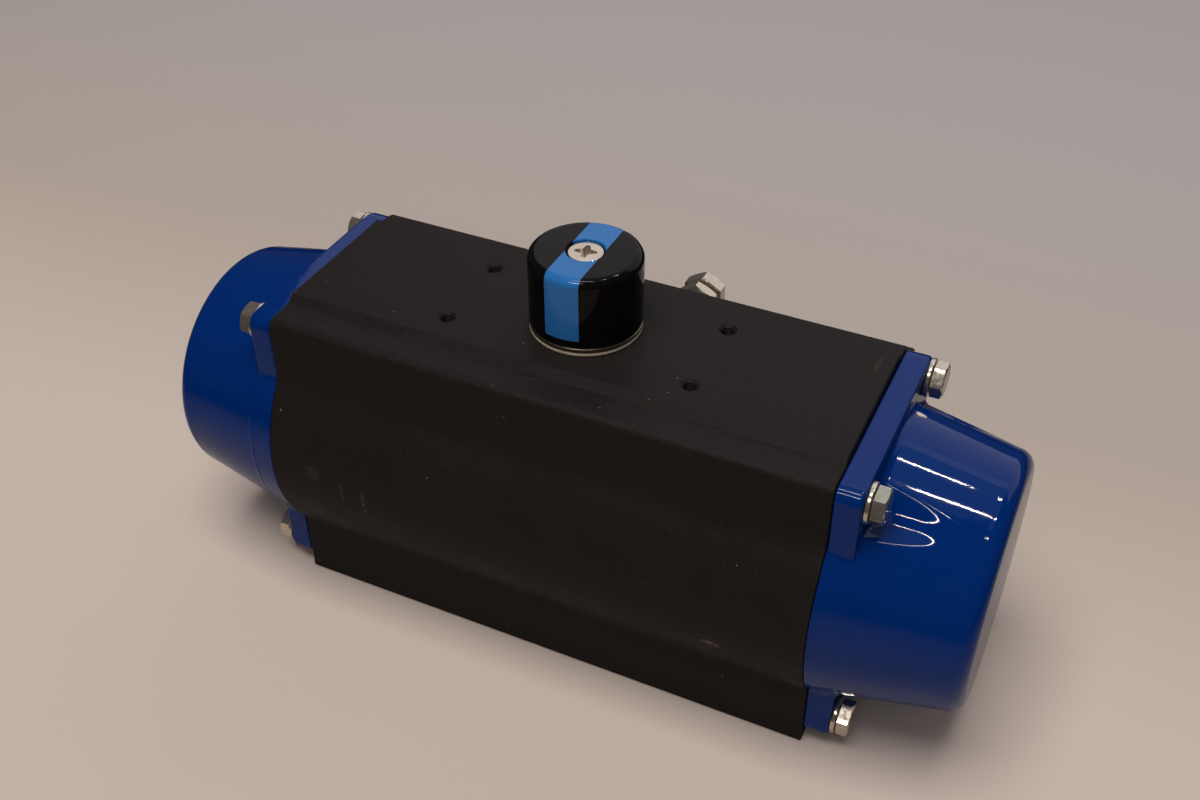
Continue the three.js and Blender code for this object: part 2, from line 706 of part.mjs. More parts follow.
const actuator = new THREE.Group();
actuator.position.y = AXIS_Y;
actuator.add(part("body", makeBody(), blackAnodised));
actuator.add(makeEnd("right", 0), makeEnd("left", Math.PI), makeStops(), makePinionGroup());

export default actuator;
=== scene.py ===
"""Looks of a spring-return pneumatic actuator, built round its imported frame.

Shapes are drawn in millimetres about the pinion axis, as the frame's solids are, and brought to metres in
the row frame when a piece is placed. Every piece stands for one CAD node and rides on that node's body.
"""

import json
import math

import bmesh
import bpy
from mathutils import Matrix, Vector

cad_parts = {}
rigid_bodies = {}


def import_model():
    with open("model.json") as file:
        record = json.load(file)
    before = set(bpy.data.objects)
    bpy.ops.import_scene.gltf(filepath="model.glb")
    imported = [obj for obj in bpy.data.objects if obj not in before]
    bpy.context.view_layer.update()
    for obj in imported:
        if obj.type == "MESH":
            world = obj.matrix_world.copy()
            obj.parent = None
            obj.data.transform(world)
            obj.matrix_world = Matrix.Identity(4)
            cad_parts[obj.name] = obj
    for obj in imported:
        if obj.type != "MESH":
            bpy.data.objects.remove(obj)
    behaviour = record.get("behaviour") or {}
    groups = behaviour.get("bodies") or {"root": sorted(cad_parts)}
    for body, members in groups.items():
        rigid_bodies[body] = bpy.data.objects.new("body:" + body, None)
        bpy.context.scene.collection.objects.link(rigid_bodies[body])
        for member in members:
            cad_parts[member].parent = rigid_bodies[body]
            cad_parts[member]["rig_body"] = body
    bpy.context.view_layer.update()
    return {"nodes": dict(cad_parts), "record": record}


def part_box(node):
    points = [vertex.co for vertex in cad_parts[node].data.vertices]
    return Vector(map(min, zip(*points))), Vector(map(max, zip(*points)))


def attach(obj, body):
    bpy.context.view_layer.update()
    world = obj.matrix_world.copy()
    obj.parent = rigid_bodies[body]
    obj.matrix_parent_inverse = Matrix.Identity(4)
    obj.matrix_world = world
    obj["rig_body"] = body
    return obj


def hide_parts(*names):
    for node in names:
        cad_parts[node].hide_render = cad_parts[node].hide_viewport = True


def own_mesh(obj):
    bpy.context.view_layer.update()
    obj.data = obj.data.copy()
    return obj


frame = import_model()

# -------------------------------- dimensions, mm

MM = 0.001
AXIS_Y = sum(corner.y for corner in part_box("indicator")) / 2 / MM
TO_ROW = Matrix.Scale(MM, 4) @ Matrix.Translation((0, AXIS_Y, 0))


def extent(node, axis):
    """Lowest and highest value of a CAD node along an axis, in mm about the pinion axis."""
    low, high = (corner[axis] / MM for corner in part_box(node))
    shift = AXIS_Y if axis == 1 else 0
    return low - shift, high - shift


BODY_X = extent("body", 0)
BODY_TOP = extent("body", 2)[1]
BORE_Z = sum(extent("end_cap_right", 2)) / 2 - 0.35  # the flange reaches 0.7 further up than down
IN_BORE = (0, 0, BORE_Z)
BORE_R = 42
BULGE_R = 48  # round of the cylinder, and how far the flat back wall stands from the axis
PAD_W = 24.5  # half widths of the raised pad, the shoulders beside it and the foot
SHOULDER_W = 38
BACK_SHOULDER_W = 37.5
FOOT_W = 36.5
SHOULDER_Z = BODY_TOP - 2.2
BEVEL = 2.5  # width of the pad's sloping edges
BACK_CORNER_R = 7
BACK_WALL_Z = (20, 95.6)
BACK_LEDGES_Z = (15, 98)
TOP_PATTERN = (40, 15)  # half spacings of the holes in the top face and the port face
PORT_PATTERN = (16, 12)
PORT = (12, 50)  # distance from the middle, and height
BASE_HALF = 50 / 2 / math.sqrt(2)
HOLE_DEPTH = 11
PORT_DEPTH = 4.5
STOP = (16, 88.5)  # distance from the middle, and height
STOP_HOLE_R = 4.3
SPIGOT_R = 20
SPIGOT_DEPTH = 9.4
JOURNAL_R = (17.4, 12.4)  # the pinion's bores, below and above the cylinder
CAM_ROOM_R = 24
CAM_ROOM_Z = (78, 93.5)
BEARING_SEAT = (14.6, 101)  # radius and floor of the upper bearing's seat
SPOT_FACE = 0.3  # depth, and play round the indicator

FLANGE_IN = extent("end_cap_right", 0)[0]
CAP_END = extent("end_cap_right", 0)[1]
FLANGE_OUT = FLANGE_IN + 7.7
FLANGE_Z = (5, 105.7)
FLANGE_BACK_R = 8
FLANGE_R = 4
FLANGE_ROUNDING = ((1.2, 0), (0.75, 0.06), (0.35, 0.35), (0.09, 0.75), (0, 1.2))  # in from side and face
BARREL_R = (47.6, 46.2, 40.3)  # at the flange's back, at its face and at the end
BARREL_STEPS = 48
CAP_SIDES = 640
CAP_EDGE = 5.8
CROWN = 0.45
FILLET = 1.6
CAVITY_R = (39, 34.5)
CAVITY_END = CAP_END - 9
SEAL_GROOVE = (43, 46.2, 2.7)  # inner and outer radius, and depth
CAVITY_MOUTH_R = 39.5
SEAL_WIRE = 1.2
PISTON_RING_X = 44.4
PISTON_BAND_X = (35.3, 39.7)
BOLT = (30.5, 44)
BOLT_HOLE_R = 3.4
SCALLOP_R = 11.5

IND_R = extent("indicator", 0)[1]
IND_Z = extent("indicator", 2)
IND_EDGE = 2.6
IND_WALL = 2.7
IND_ROOF = IND_Z[1] - 5.2
STRIPE_HALF = 5.5
STRIPE_BOTTOM = IND_Z[0] + 2.4
STRIPE_GAP = 0.06
RECESS_R = 6
STEM_TOP = extent("pinion", 2)[1]

THREAD_DEPTH = 0.55  # of the pitch
FINE = 160  # sides of the big circles
ROUND = 96
SMALL = 48

# -------------------------------- outlines


def angles_of(count):
    """That many directions, evenly round a circle, in radians."""
    return [2 * math.pi * i / count for i in range(count)]


def arc(cu, cv, r, start, end, step=4):
    """Points of an arc, angles in degrees."""
    count = max(2, math.ceil(abs(end - start) / step))
    angles = [math.radians(start + (end - start) * i / count) for i in range(count + 1)]
    return [(cu + r * math.cos(a), cv + r * math.sin(a)) for a in angles]


def filleted(corners, closed=True, step=10):
    """Corners (u, v) or (u, v, radius), each radius drawn as an arc."""
    points = []
    for i, corner in enumerate(corners):
        here = Vector(corner[:2])
        at_end = not closed and i in (0, len(corners) - 1)
        if len(corner) < 3 or at_end:
            points.append(tuple(here))
            continue
        before = Vector(corners[i - 1][:2]) - here
        after = Vector(corners[(i + 1) % len(corners)][:2]) - here
        half = before.angle(after) / 2
        reach = min(corner[2] / math.tan(half), 0.49 * before.length, 0.49 * after.length)
        radius = reach * math.tan(half)
        middle = before.normalized() + after.normalized()
        centre = here + middle.normalized() * radius / math.sin(half)
        start = here + before.normalized() * reach - centre
        end = here + after.normalized() * reach - centre
        first = math.degrees(math.atan2(start.y, start.x))
        turn = math.degrees(math.atan2(start.cross(end), start.dot(end)))
        points += arc(centre.x, centre.y, radius, first, first + turn, step)
    return points


def inset(points, distance):
    """A closed outline moved inwards (for one drawn anticlockwise)."""
    moved = []
    for i, point in enumerate(points):
        here = Vector(point)
        a = (here - Vector(points[i - 1])).normalized()
        b = (Vector(points[(i + 1) % len(points)]) - here).normalized()
        normal = Vector((-(a + b).y, (a + b).x)).normalized()
        along = max(0.3, normal.dot(Vector((-a.y, a.x))))
        moved.append(tuple(here + normal * distance / along))
    return moved


# -------------------------------- meshes

WELD = 2e-4
PLACE = {  # a point (u, v) of an outline at height h along an axis
    "x": lambda u, v, h: (h, u, v),
    "y": lambda u, v, h: (v, h, u),
    "z": lambda u, v, h: (u, v, h),
}


def mesh_of(points, faces):
    """A closed mesh with welded vertices and outward faces."""
    mesh = bpy.data.meshes.new("part")
    mesh.from_pydata(points, [], faces)
    work = bmesh.new()
    work.from_mesh(mesh)
    bmesh.ops.remove_doubles(work, verts=work.verts, dist=WELD)
    bmesh.ops.dissolve_degenerate(work, edges=work.edges, dist=WELD)
    bmesh.ops.recalc_face_normals(work, faces=work.faces)
    work.to_mesh(mesh)
    work.free()
    return mesh


def skin(rings, wrap=False):
    """A surface through rings of points. One-point rings close an end; wrap joins the last to the first."""
    points, starts = [], []
    for ring in rings:
        starts.append((len(points), len(ring)))
        points += ring
    faces = []
    pairs = list(zip(starts, starts[1:])) + ([(starts[-1], starts[0])] if wrap else [])
    for (a, count_a), (b, count_b) in pairs:
        count = max(count_a, count_b)
        for i in range(count):
            j = (i + 1) % count
            face = (a, b + i, b + j) if count_a == 1 else (a + i, b + i, b + j, a + j)
            faces.append((a + i, b, a + j) if count_b == 1 else face)
    if not wrap:
        for start, count in (starts[0], starts[-1]):
            if count > 1:
                faces.append(tuple(range(start, start + count)))
    return mesh_of(points, faces)


def lathe(profile, axis, sides, centre=(0, 0, 0), wrap=False):
    """A profile of (radius, height) turned about an axis."""
    rings = []
    for r, h in profile:
        angles = angles_of(sides if r > 1e-6 else 1)
        rings.append([PLACE[axis](r * math.cos(a), r * math.sin(a), h) for a in angles])
    rings = [[tuple(Vector(p) + Vector(centre)) for p in ring] for ring in rings]
    return skin(rings, wrap)


def rod(axis, r, low, high, sides=SMALL, centre=(0, 0, 0)):
    return lathe([(0, low), (r, low), (r, high), (0, high)], axis, sides, centre)


def tube(axis, inner, outer, low, high, sides, edge=0.2, centre=(0, 0, 0)):
    corners = [(inner, low, edge), (outer, low, edge), (outer, high, edge), (inner, high, edge)]
    return lathe(filleted(corners, step=30), axis, sides, centre, wrap=True)


def torus(axis, r, wire, height, centre=(0, 0, 0)):
    return lathe(arc(r, height, wire, 0, 337.5, 22.5), axis, ROUND, centre, wrap=True)


def prism(outline, axis, low, high, edge=0.25):
    """An outline run along an axis, with a small chamfer at both ends."""
    small = inset(outline, edge)
    levels = [(small, low), (outline, low + edge), (outline, high - edge), (small, high)]
    return skin([[PLACE[axis](u, v, h) for u, v in points] for points, h in levels])


def block(low, high):
    corners = [(low[0], low[1]), (high[0], low[1]), (high[0], high[1]), (low[0], high[1])]
    return skin([[(x, y, h) for x, y in corners] for h in (low[2], high[2])])


def moved(mesh, offset=(0, 0, 0), angle=0, axis="Z"):
    """A copy of a mesh, turned about an axis through the origin and then shifted."""
    copy = mesh.copy()
    copy.transform(Matrix.Translation(offset) @ Matrix.Rotation(math.radians(angle), 4, axis))
    return copy


def scratch(mesh):
    thing = bpy.data.objects.new("scratch", mesh)
    bpy.context.scene.collection.objects.link(thing)
    return thing


def boolean(mesh, tools, operation="DIFFERENCE"):
    """mesh cut by, joined with or kept inside each tool in turn."""
    base = scratch(mesh)
    helpers = [scratch(tool) for tool in tools]
    for helper in helpers:
        step = base.modifiers.new("step", "BOOLEAN")
        step.operation = operation
        step.solver = "MANIFOLD"
        step.object = helper
    graph = bpy.context.evaluated_depsgraph_get()
    result = bpy.data.meshes.new_from_object(base.evaluated_get(graph))
    for thing in (base, *helpers):
        bpy.data.objects.remove(thing)
    return result


# -------------------------------- threads and heads


def thread_turn(minor, radius, start, pitch):
    """(radius, height) of one turn, from just after its crest."""
    return [(minor, start + 0.45 * pitch), (minor, start + 0.55 * pitch), (radius, start + pitch)]


def threaded(axis, centre, mouth, inward, radius, pitch, depth):
    """A tool that cuts a countersunk threaded hole with a drill point."""
    minor = radius - THREAD_DEPTH * pitch
    chamfer = 0.5 * pitch
    profile = [(0, -1), (radius + chamfer, -1), (radius + chamfer, 0), (radius, chamfer)]
    turns = int((depth - 2 * chamfer) / pitch)
    for k in range(turns):
        start = chamfer + k * pitch
        profile += thread_turn(minor, radius, start, pitch)
    profile += [(minor, depth), (0, depth + 0.5 * minor)]
    return lathe([(r, mouth + inward * t) for r, t in profile], axis, SMALL, centre)


def hexagon_r(angle, flats):
    """Distance from the centre to the side of a hexagon with slightly broken corners."""
    off = (angle + math.pi / 6) % (math.pi / 3) - math.pi / 6
    return min(flats / 2 / math.cos(off), flats / math.sqrt(3) - 0.08)


def head_rings(flats, low, high):
    """Rings of a hexagon head, chamfered on the outer face. Each has SMALL points."""
    face = 0.47 * flats
    angles = angles_of(SMALL)
    sides = [hexagon_r(a, flats) for a in angles]
    drop = [0.12 + 0.5 * (side - face) for side in sides]
    return [
        [(face * math.cos(a), face * math.sin(a), low) for a in angles],
        [((s - 0.1) * math.cos(a), (s - 0.1) * math.sin(a), low + 0.2) for a, s in zip(angles, sides)],
        [(s * math.cos(a), s * math.sin(a), low + 0.3) for a, s in zip(angles, sides)],
        [(s * math.cos(a), s * math.sin(a), high - d) for a, s, d in zip(angles, sides, drop)],
        [(face * math.cos(a), face * math.sin(a), high) for a in angles],
        [((face - 0.35) * math.cos(a), (face - 0.35) * math.sin(a), high) for a in angles],
    ]


def shank_profile(radius, pitch, tip, seat):
    """(radius, height) of a threaded shank from its tip up to the head."""
    minor = radius - THREAD_DEPTH * pitch
    profile = [(0, tip), (minor - 0.2, tip), (radius, tip + 0.8 * pitch)]
    turns = int((seat - tip - 2 * pitch) / pitch)
    for k in range(turns):
        start = tip + (0.8 + k) * pitch
        profile += thread_turn(minor, radius, start, pitch)
    return profile + [(minor, seat - 0.4), (minor, seat)]


def bolt(axis, flats, radius, pitch, tip, seat, high):
    """A hexagon bolt in one skin: threaded shank, then the head."""
    angles = angles_of(SMALL)
    rings = []
    for r, h in shank_profile(radius, pitch, tip, seat):
        rings.append([(r * math.cos(a), r * math.sin(a), h) for a in angles] if r else [(0, 0, h)])
    rings += head_rings(flats, seat, high) + [[(0, 0, high - 0.06)]]
    return skin([[PLACE[axis](*p) for p in ring] for ring in rings])


def nut(axis, flats, bore, low, high):
    """A hexagon nut chamfered on both faces."""
    angles = angles_of(SMALL)
    outer = head_rings(flats, low, high)[3:5]
    lower = [[(x, y, low + high - h) for x, y, h in ring] for ring in reversed(outer)]
    holes = [(bore + 0.5, high), (bore, high - 0.5), (bore, low + 0.5), (bore + 0.5, low)]
    inner = [[(r * math.cos(a), r * math.sin(a), h) for a in angles] for r, h in holes]
    return skin([[PLACE[axis](*p) for p in ring] for ring in lower + outer + inner], wrap=True)


# -------------------------------- body


def swell(wall, fillet, side):
    """Hollow fillet between the flat front wall and the round of the cylinder: its centre and angle."""
    across = wall + fillet
    rise = math.sqrt((BULGE_R + fillet) ** 2 - across**2)
    return (-across, BORE_Z + side * rise), math.degrees(math.atan2(rise, across))


def body_outline():
    """Section of the extrusion in (y, z), anticlockwise from the foot's back corner."""
    upper, upper_angle = swell(SHOULDER_W, 15, 1)
    lower, lower_angle = swell(FOOT_W, 4, -1)
    corners = [
        (FOOT_W, 0, 0.6),
        (FOOT_W, BACK_LEDGES_Z[0], 1.5),
        (BULGE_R, BACK_WALL_Z[0], 1.2),
        (BULGE_R, BACK_WALL_Z[1], 1.2),
        (BACK_SHOULDER_W, BACK_LEDGES_Z[1], 1),
        *arc(BACK_SHOULDER_W - BACK_CORNER_R, SHOULDER_Z - BACK_CORNER_R, BACK_CORNER_R, 0, 90, 6),
        (PAD_W + BEVEL, SHOULDER_Z, 1),
        (PAD_W, BODY_TOP, 0.7),
        (-PAD_W, BODY_TOP, 0.7),
        (-PAD_W - BEVEL, SHOULDER_Z, 1),
        (-SHOULDER_W, SHOULDER_Z, 2.8),
    ]
    front = arc(*upper, 15, 0, -upper_angle)
    front += arc(0, BORE_Z, BULGE_R, 180 - upper_angle, 180 + lower_angle)[1:]
    front += arc(*lower, 4, lower_angle, 0, 8)[1:]
    return filleted(corners + front + [(-FOOT_W, 0, 0.6)], step=12)


def hole_set(maker, half, centre=(0, 0)):
    """Four holes at the corners of a rectangle of those half sides."""
    (u, v), signs = centre, (-1, 1)
    return [maker(u + su * half[0], v + sv * half[1]) for su in signs for sv in signs]


def pinion_bores():
    """Tools for the spigot recess and the lower journal, then for everything above the cylinder."""
    mouth, (r, upper_r) = SPIGOT_R + 0.4, JOURNAL_R
    low = [(0, -1), (mouth, -1), (mouth, 0), (SPIGOT_R, 0.4), (SPIGOT_R, SPIGOT_DEPTH), (r, SPIGOT_DEPTH),
           (r, BORE_Z), (0, BORE_Z)]
    floor, roof = CAM_ROOM_Z
    face_r, face_z = IND_R + SPOT_FACE, BODY_TOP - SPOT_FACE
    high = [(0, BORE_Z), (upper_r, BORE_Z), (upper_r, floor), (CAM_ROOM_R, floor), (CAM_ROOM_R, roof),
            (upper_r, roof), (upper_r, BEARING_SEAT[1]), BEARING_SEAT, (BEARING_SEAT[0], face_z),
            (face_r, face_z), (face_r, BODY_TOP + 1), (0, BODY_TOP + 1)]
    return [lathe(profile, "z", ROUND) for profile in (low, high)]


def make_body():
    """The extrusion, bored and drilled."""
    back = BULGE_R
    m5, m6, port_thread = (2.5, 0.8), (3, 1), (6.6, 1.34)  # outer radius and pitch
    r, wide = STOP_HOLE_R, STOP_HOLE_R + 0.6
    tools = [rod("x", BORE_R, BODY_X[0] - 1, BODY_X[1] + 1, FINE, IN_BORE), *pinion_bores()]
    tools += hole_set(lambda x, y: threaded("z", (x, y, 0), BODY_TOP, -1, *m5, HOLE_DEPTH), TOP_PATTERN)
    tools += hole_set(lambda x, y: threaded("z", (x, y, 0), 0, 1, *m6, HOLE_DEPTH), (BASE_HALF,) * 2)
    tools += hole_set(lambda x, z: threaded("y", (x, 0, z), back, -1, *m5, PORT_DEPTH),
                      PORT_PATTERN, (0, PORT[1]))
    for side in (-1, 1):
        port = (side * PORT[0], 0, PORT[1])
        tools.append(threaded("y", port, back, -1, *port_thread, PORT_DEPTH - 0.4))
        mouth = [(0, 15), (r, 15), (r, back - 0.6), (wide, back), (wide, back + 1), (0, back + 1)]
        tools.append(lathe(mouth, "y", SMALL, (side * STOP[0], 0, STOP[1])))
        end = BODY_X[(side + 1) // 2]
        tools += hole_set(lambda y, z: threaded("x", (0, y, z), end, -side, 3.2, 1, 16), BOLT, IN_BORE[1:])
    tools.append(rod("y", 2, BORE_R - 3, back, SMALL, (-PORT[0], 0, PORT[1])))
    return boolean(prism(body_outline(), "x", *BODY_X, edge=0.3), tools)


# -------------------------------- end caps


def flange_radii(angles, shrink, side):
    """Distance from the bore axis to the flange's edge in each direction.

    Its rounder top corner is at the back, which is +Y on the right cap and, before the half turn that
    places it, -Y on the left one.
    """
    low, high = (z - BORE_Z for z in FLANGE_Z)
    back, front = (BACK_SHOULDER_W, FLANGE_BACK_R), (SHOULDER_W, FLANGE_R)
    plus, minus = (back, front) if side == "right" else (front, back)
    corners = [
        (FOOT_W - shrink, low + shrink, FLANGE_R - shrink),
        (plus[0] - shrink, high - shrink, plus[1] - shrink),
        (shrink - minus[0], high - shrink, minus[1] - shrink),
        (shrink - FOOT_W, low + shrink, FLANGE_R - shrink),
    ]
    outline = [Vector(p) for p in filleted(corners, step=6)]
    radii = []
    for a in angles:
        ray = Vector((math.cos(a), math.sin(a)))
        best = 0
        for p, q in zip(outline, outline[1:] + outline[:1]):
            line = q - p
            turn = ray.cross(line)
            if abs(turn) > 1e-9:
                along, share = p.cross(line) / turn, p.cross(ray) / turn
                if -1e-6 <= share <= 1 + 1e-6:
                    best = max(best, along)
        radii.append(best)
    return radii


def scallop_radii(angles):
    """Distance from the bore axis to the near side of the spanner scallops, or a large number."""
    radii = []
    distance = math.hypot(*BOLT)
    none_here = 99.0
    for a in angles:
        r = none_here
        for centre in (math.atan2(sz * BOLT[1], sy * BOLT[0]) for sy in (-1, 1) for sz in (-1, 1)):
            off = (a - centre + math.pi) % (2 * math.pi) - math.pi
            under = SCALLOP_R**2 - (distance * math.sin(off)) ** 2
            if under > 0 and math.cos(off) > 0:
                r = min(r, distance * math.cos(off) - math.sqrt(under))
        radii.append(r)
    return radii


def soft_min(a, b, blend):
    """The smaller of two numbers, rounded off where they are nearly equal."""
    share = min(1, max(0, 0.5 + 0.5 * (b - a) / blend))
    return b + (a - b) * share - blend * share * (1 - share)


def barrel_r(x):
    """Radius of the tapered barrel at a distance from the middle of the actuator."""
    if x < FLANGE_OUT:
        share = (x - FLANGE_IN) / (FLANGE_OUT - FLANGE_IN)
        return BARREL_R[0] + (BARREL_R[1] - BARREL_R[0]) * share
    share = (x - FLANGE_OUT) / (CAP_END - CAP_EDGE - FLANGE_OUT)
    return BARREL_R[1] + (BARREL_R[2] - BARREL_R[1]) * share


def make_cap(side):
    """A cap as rings about the bore axis, from the middle of its end face inwards, facing right."""
    angles = angles_of(CAP_SIDES)
    scallop = scallop_radii(angles)
    rim = {shrink: flange_radii(angles, shrink, side) for shrink, _ in FLANGE_ROUNDING}

    def ring(x, radii):
        return [(x, r * math.cos(a), BORE_Z + r * math.sin(a)) for a, r in zip(angles, radii)]

    def barrel(r):
        return [soft_min(r, s, 1.3) for s in scallop]

    def flange(x, shrink):
        return [-soft_min(-f, -barrel_r(x), 0.6) for f in rim[shrink]]

    inner = BARREL_R[2] - CAP_EDGE
    edge_x = CAP_END - CAP_EDGE
    rings = [[(CAP_END, 0, BORE_Z)]]
    for r in (5, 10, 15, 20, 25, 30):
        rings.append(ring(CAP_END - CROWN * (r / inner) ** 2, [r] * CAP_SIDES))
    for u, v in arc(inner, edge_x, CAP_EDGE, 90, 0, 9):
        rings.append(ring(v - CROWN * (v - edge_x) / CAP_EDGE, barrel(u)))
    for i in range(1, BARREL_STEPS + 1):
        x = edge_x + (FLANGE_OUT + FILLET - edge_x) * i / BARREL_STEPS
        rings.append(ring(x, barrel(barrel_r(x))))

    foot = barrel(barrel_r(FLANGE_OUT))
    edge = flange(FLANGE_OUT, FLANGE_ROUNDING[0][0])
    for a in (22.5, 45, 67.5, 90):
        x = FLANGE_OUT + FILLET * (1 - math.sin(math.radians(a)))
        out = FILLET * (1 - math.cos(math.radians(a)))
        rings.append(ring(x, [min(f + out, max(e, f)) for f, e in zip(foot, edge)]))
    for shrink, drop in FLANGE_ROUNDING:
        rings.append(ring(FLANGE_OUT - drop, flange(FLANGE_OUT - drop, shrink)))
    rings.append(ring(FLANGE_IN + 0.35, flange(FLANGE_IN, 0)))
    rings.append(ring(FLANGE_IN, flange(FLANGE_IN, 0.35)))

    groove_in, groove_out, groove_depth = SEAL_GROOVE
    groove_x = FLANGE_IN + groove_depth
    floor_x = CAP_END - 6
    for x, r in ((FLANGE_IN, groove_out), (groove_x, groove_out), (groove_x, groove_in),
                 (FLANGE_IN, groove_in), (FLANGE_IN, CAVITY_MOUTH_R), (FLANGE_IN + 0.5, CAVITY_R[0]),
                 (CAVITY_END, CAVITY_R[1]), (floor_x - 0.6, CAVITY_R[1] - 1.5),
                 (floor_x, CAVITY_R[1] - 3.5)):
        rings.append(ring(x, [r] * CAP_SIDES))
    rings.append([(floor_x, 0, BORE_Z)])

    def bolt_hole(y, z):
        return rod("x", BOLT_HOLE_R, FLANGE_IN - 1, FLANGE_OUT + 1, SMALL, (0, y, z))

    return boolean(skin(rings), hole_set(bolt_hole, BOLT, IN_BORE[1:]))


# -------------------------------- indicator


def indicator_skin(shrink):
    """The indicator's outer shape, or the same shape a little smaller."""
    edge = IND_EDGE - shrink / 2
    top = IND_Z[1] - shrink
    corners = [(0, IND_Z[0]), (IND_R - shrink, IND_Z[0], 0.25), (IND_R - shrink, top, edge), (0, top)]
    return lathe(filleted(corners, closed=False, step=8), "z", FINE)


def stripe_band(half, bottom):
    """A block as wide as the stripe and longer than the indicator, from a height up past its top."""
    return block((-half, -IND_R - 1, bottom), (half, IND_R + 1, IND_Z[1] + 1))


def recess_tool():
    """Countersink and through hole of the indicator's screw."""
    top = IND_Z[1]
    hole = 3.3
    corners = [(0, STEM_TOP - 4), (hole, STEM_TOP - 4), (hole, top - 4), (RECESS_R, top - 0.9),
               (RECESS_R, top - 0.25), (RECESS_R + 0.25, top), (RECESS_R + 0.25, top + 1), (0, top + 1)]
    return lathe(corners, "z", ROUND)


def make_indicator():
    """A cap with channels for the stripes, and a tongue inside that fits the stem's slot."""
    inside, low = IND_R - IND_WALL, IND_Z[0] - 1
    room = [(0, low), (inside, low), (inside, IND_ROOF - 0.6), (inside - 0.6, IND_ROOF), (0, IND_ROOF)]
    hollow = lathe(room, "z", ROUND)
    tongue = block((-1.7, -9, STEM_TOP - 3), (1.7, 9, IND_ROOF + 1))
    channel = boolean(stripe_band(STRIPE_HALF, STRIPE_BOTTOM), [indicator_skin(1.2)])
    shell = boolean(indicator_skin(0), [hollow, channel])
    return boolean(boolean(shell, [tongue], "UNION"), [recess_tool()])


def make_stripe(side):
    """The inlay on one side of the screw, a hair inside the channel it sits in."""
    band = stripe_band(STRIPE_HALF - STRIPE_GAP, STRIPE_BOTTOM + STRIPE_GAP)
    inlay = boolean(indicator_skin(0.02), [band], "INTERSECT")
    near, far = sorted((0, side * (IND_R + 2)))
    half = block((-10, near, 100), (10, far, 150))
    return boolean(boolean(inlay, [indicator_skin(1.0), recess_tool()]), [half], "INTERSECT")


def cross_outline(reach, width):
    """Outline of a cross recess that widens towards its middle."""
    quarter = [(reach, -0.8 * width), (reach, 0.8 * width), (width * 1.7, width * 1.7)]
    points = []
    for turn in range(4):
        c, s = math.cos(turn * math.pi / 2), math.sin(turn * math.pi / 2)
        points += [(x * c - y * s, x * s + y * c) for x, y in quarter]
    return points


def make_indicator_screw():
    """Countersunk screw with a cross recess, from the indicator down into the stem."""
    top = IND_Z[1] - 0.6
    low = STEM_TOP - 12
    shank = 2.7
    corners = [(0, top + 0.12), (3, top + 0.1), (5.3, top - 0.05, 0.2), (5.4, top - 0.5, 0.1),
               (shank, top - 3.2), (shank, low), (0, low)]
    blank = lathe(filleted(corners, closed=False, step=20), "z", ROUND)
    levels = ((3.7, 0.8, top + 1), (3.4, 0.72, top), (2.7, 0.6, top - 1.7), (1.6, 0.5, top - 3.1))
    cross = skin([[(x, y, z) for x, y in cross_outline(reach, width)] for reach, width, z in levels])
    return moved(boolean(blank, [cross]), angle=12)


# -------------------------------- pinion group

TEETH = 16
PITCH_R = 14
MODULE = 1.75
PRESSURE = math.radians(25)
PLAY = 0.1
SHAFT = (  # radius and height of the pinion's steps, from the foot of its lower journal to the stem
    (16.3, 1), (17, 1.7), (17, 9.6), (14.6, 9.6), (14.6, 12.6), (17, 12.6), (17, 33), (11.5, 35),
    (11.5, 92.2), (12, 92.7), (12, 97.6), (9.9, 97.6), (9.9, 100.2), (12, 100.2), (12, 109.5), (11, 109.9),
    (11, 111.5), (9.8, 111.5), (9.8, 113.1), (11, 113.1), (11, 127.5), (10, STEM_TOP),
)
GEAR_Z = (35, 75)
SOCKET_HALF = 8.5
CAM_CONTACT = 9.7  # how far from the axis the stop screws meet the cam
CAM_R = 21


def involute(a):
    return math.tan(a) - a


def gear_outline():
    """Involute teeth, their flanks drawn from the base circle to the tip."""
    base = PITCH_R * math.cos(PRESSURE)
    tip, root = PITCH_R + MODULE, PITCH_R - 1.25 * MODULE
    half = math.pi / (2 * TEETH) - PLAY / PITCH_R + involute(PRESSURE)
    flank = []
    for share in (0, 0.2, 0.4, 0.6, 0.8, 1):
        r = base + (tip - base) * share
        flank.append((r, half - involute(math.acos(base / r))))
    tooth = [(root, -flank[0][1])] + [(r, -a) for r, a in flank]
    tooth += [(r, a) for r, a in reversed(flank)] + [(root, flank[0][1])]
    points = []
    for k in range(TEETH):
        centre = 2 * math.pi * k / TEETH
        points += [(r * math.cos(centre + a), r * math.sin(centre + a)) for r, a in tooth]
    return points


def make_pinion():
    """Shaft and gear in one piece: double-square socket below, flats for the cam, slotted stem."""
    shaft = lathe([(0, SHAFT[0][1]), *SHAFT, (0, STEM_TOP)], "z", ROUND)
    blank = boolean(shaft, [prism(gear_outline(), "z", *GEAR_Z)], "UNION")
    quarters = ((1, -1), (1, 1), (-1, 1), (-1, -1))
    corners = [(u * SOCKET_HALF, v * SOCKET_HALF, 0.8) for u, v in quarters]
    square = prism(filleted(corners), "z", 0, 20)
    tools = [square, moved(square, angle=45), threaded("z", (0, 0, 0), STEM_TOP, -1, 3.3, 1, 14)]
    tools.append(block((-2, -12, STEM_TOP - 4), (2, 12, STEM_TOP + 1)))
    for angle in (0, 180):
        tools.append(moved(block((9.5, -11.5, 83.4), (13.5, 11.5, 91.9)), angle=angle))
        tools.append(moved(block((9, -11, BODY_TOP + 8), (12, 11, STEM_TOP + 1)), angle=angle))
    return boolean(blank, tools)


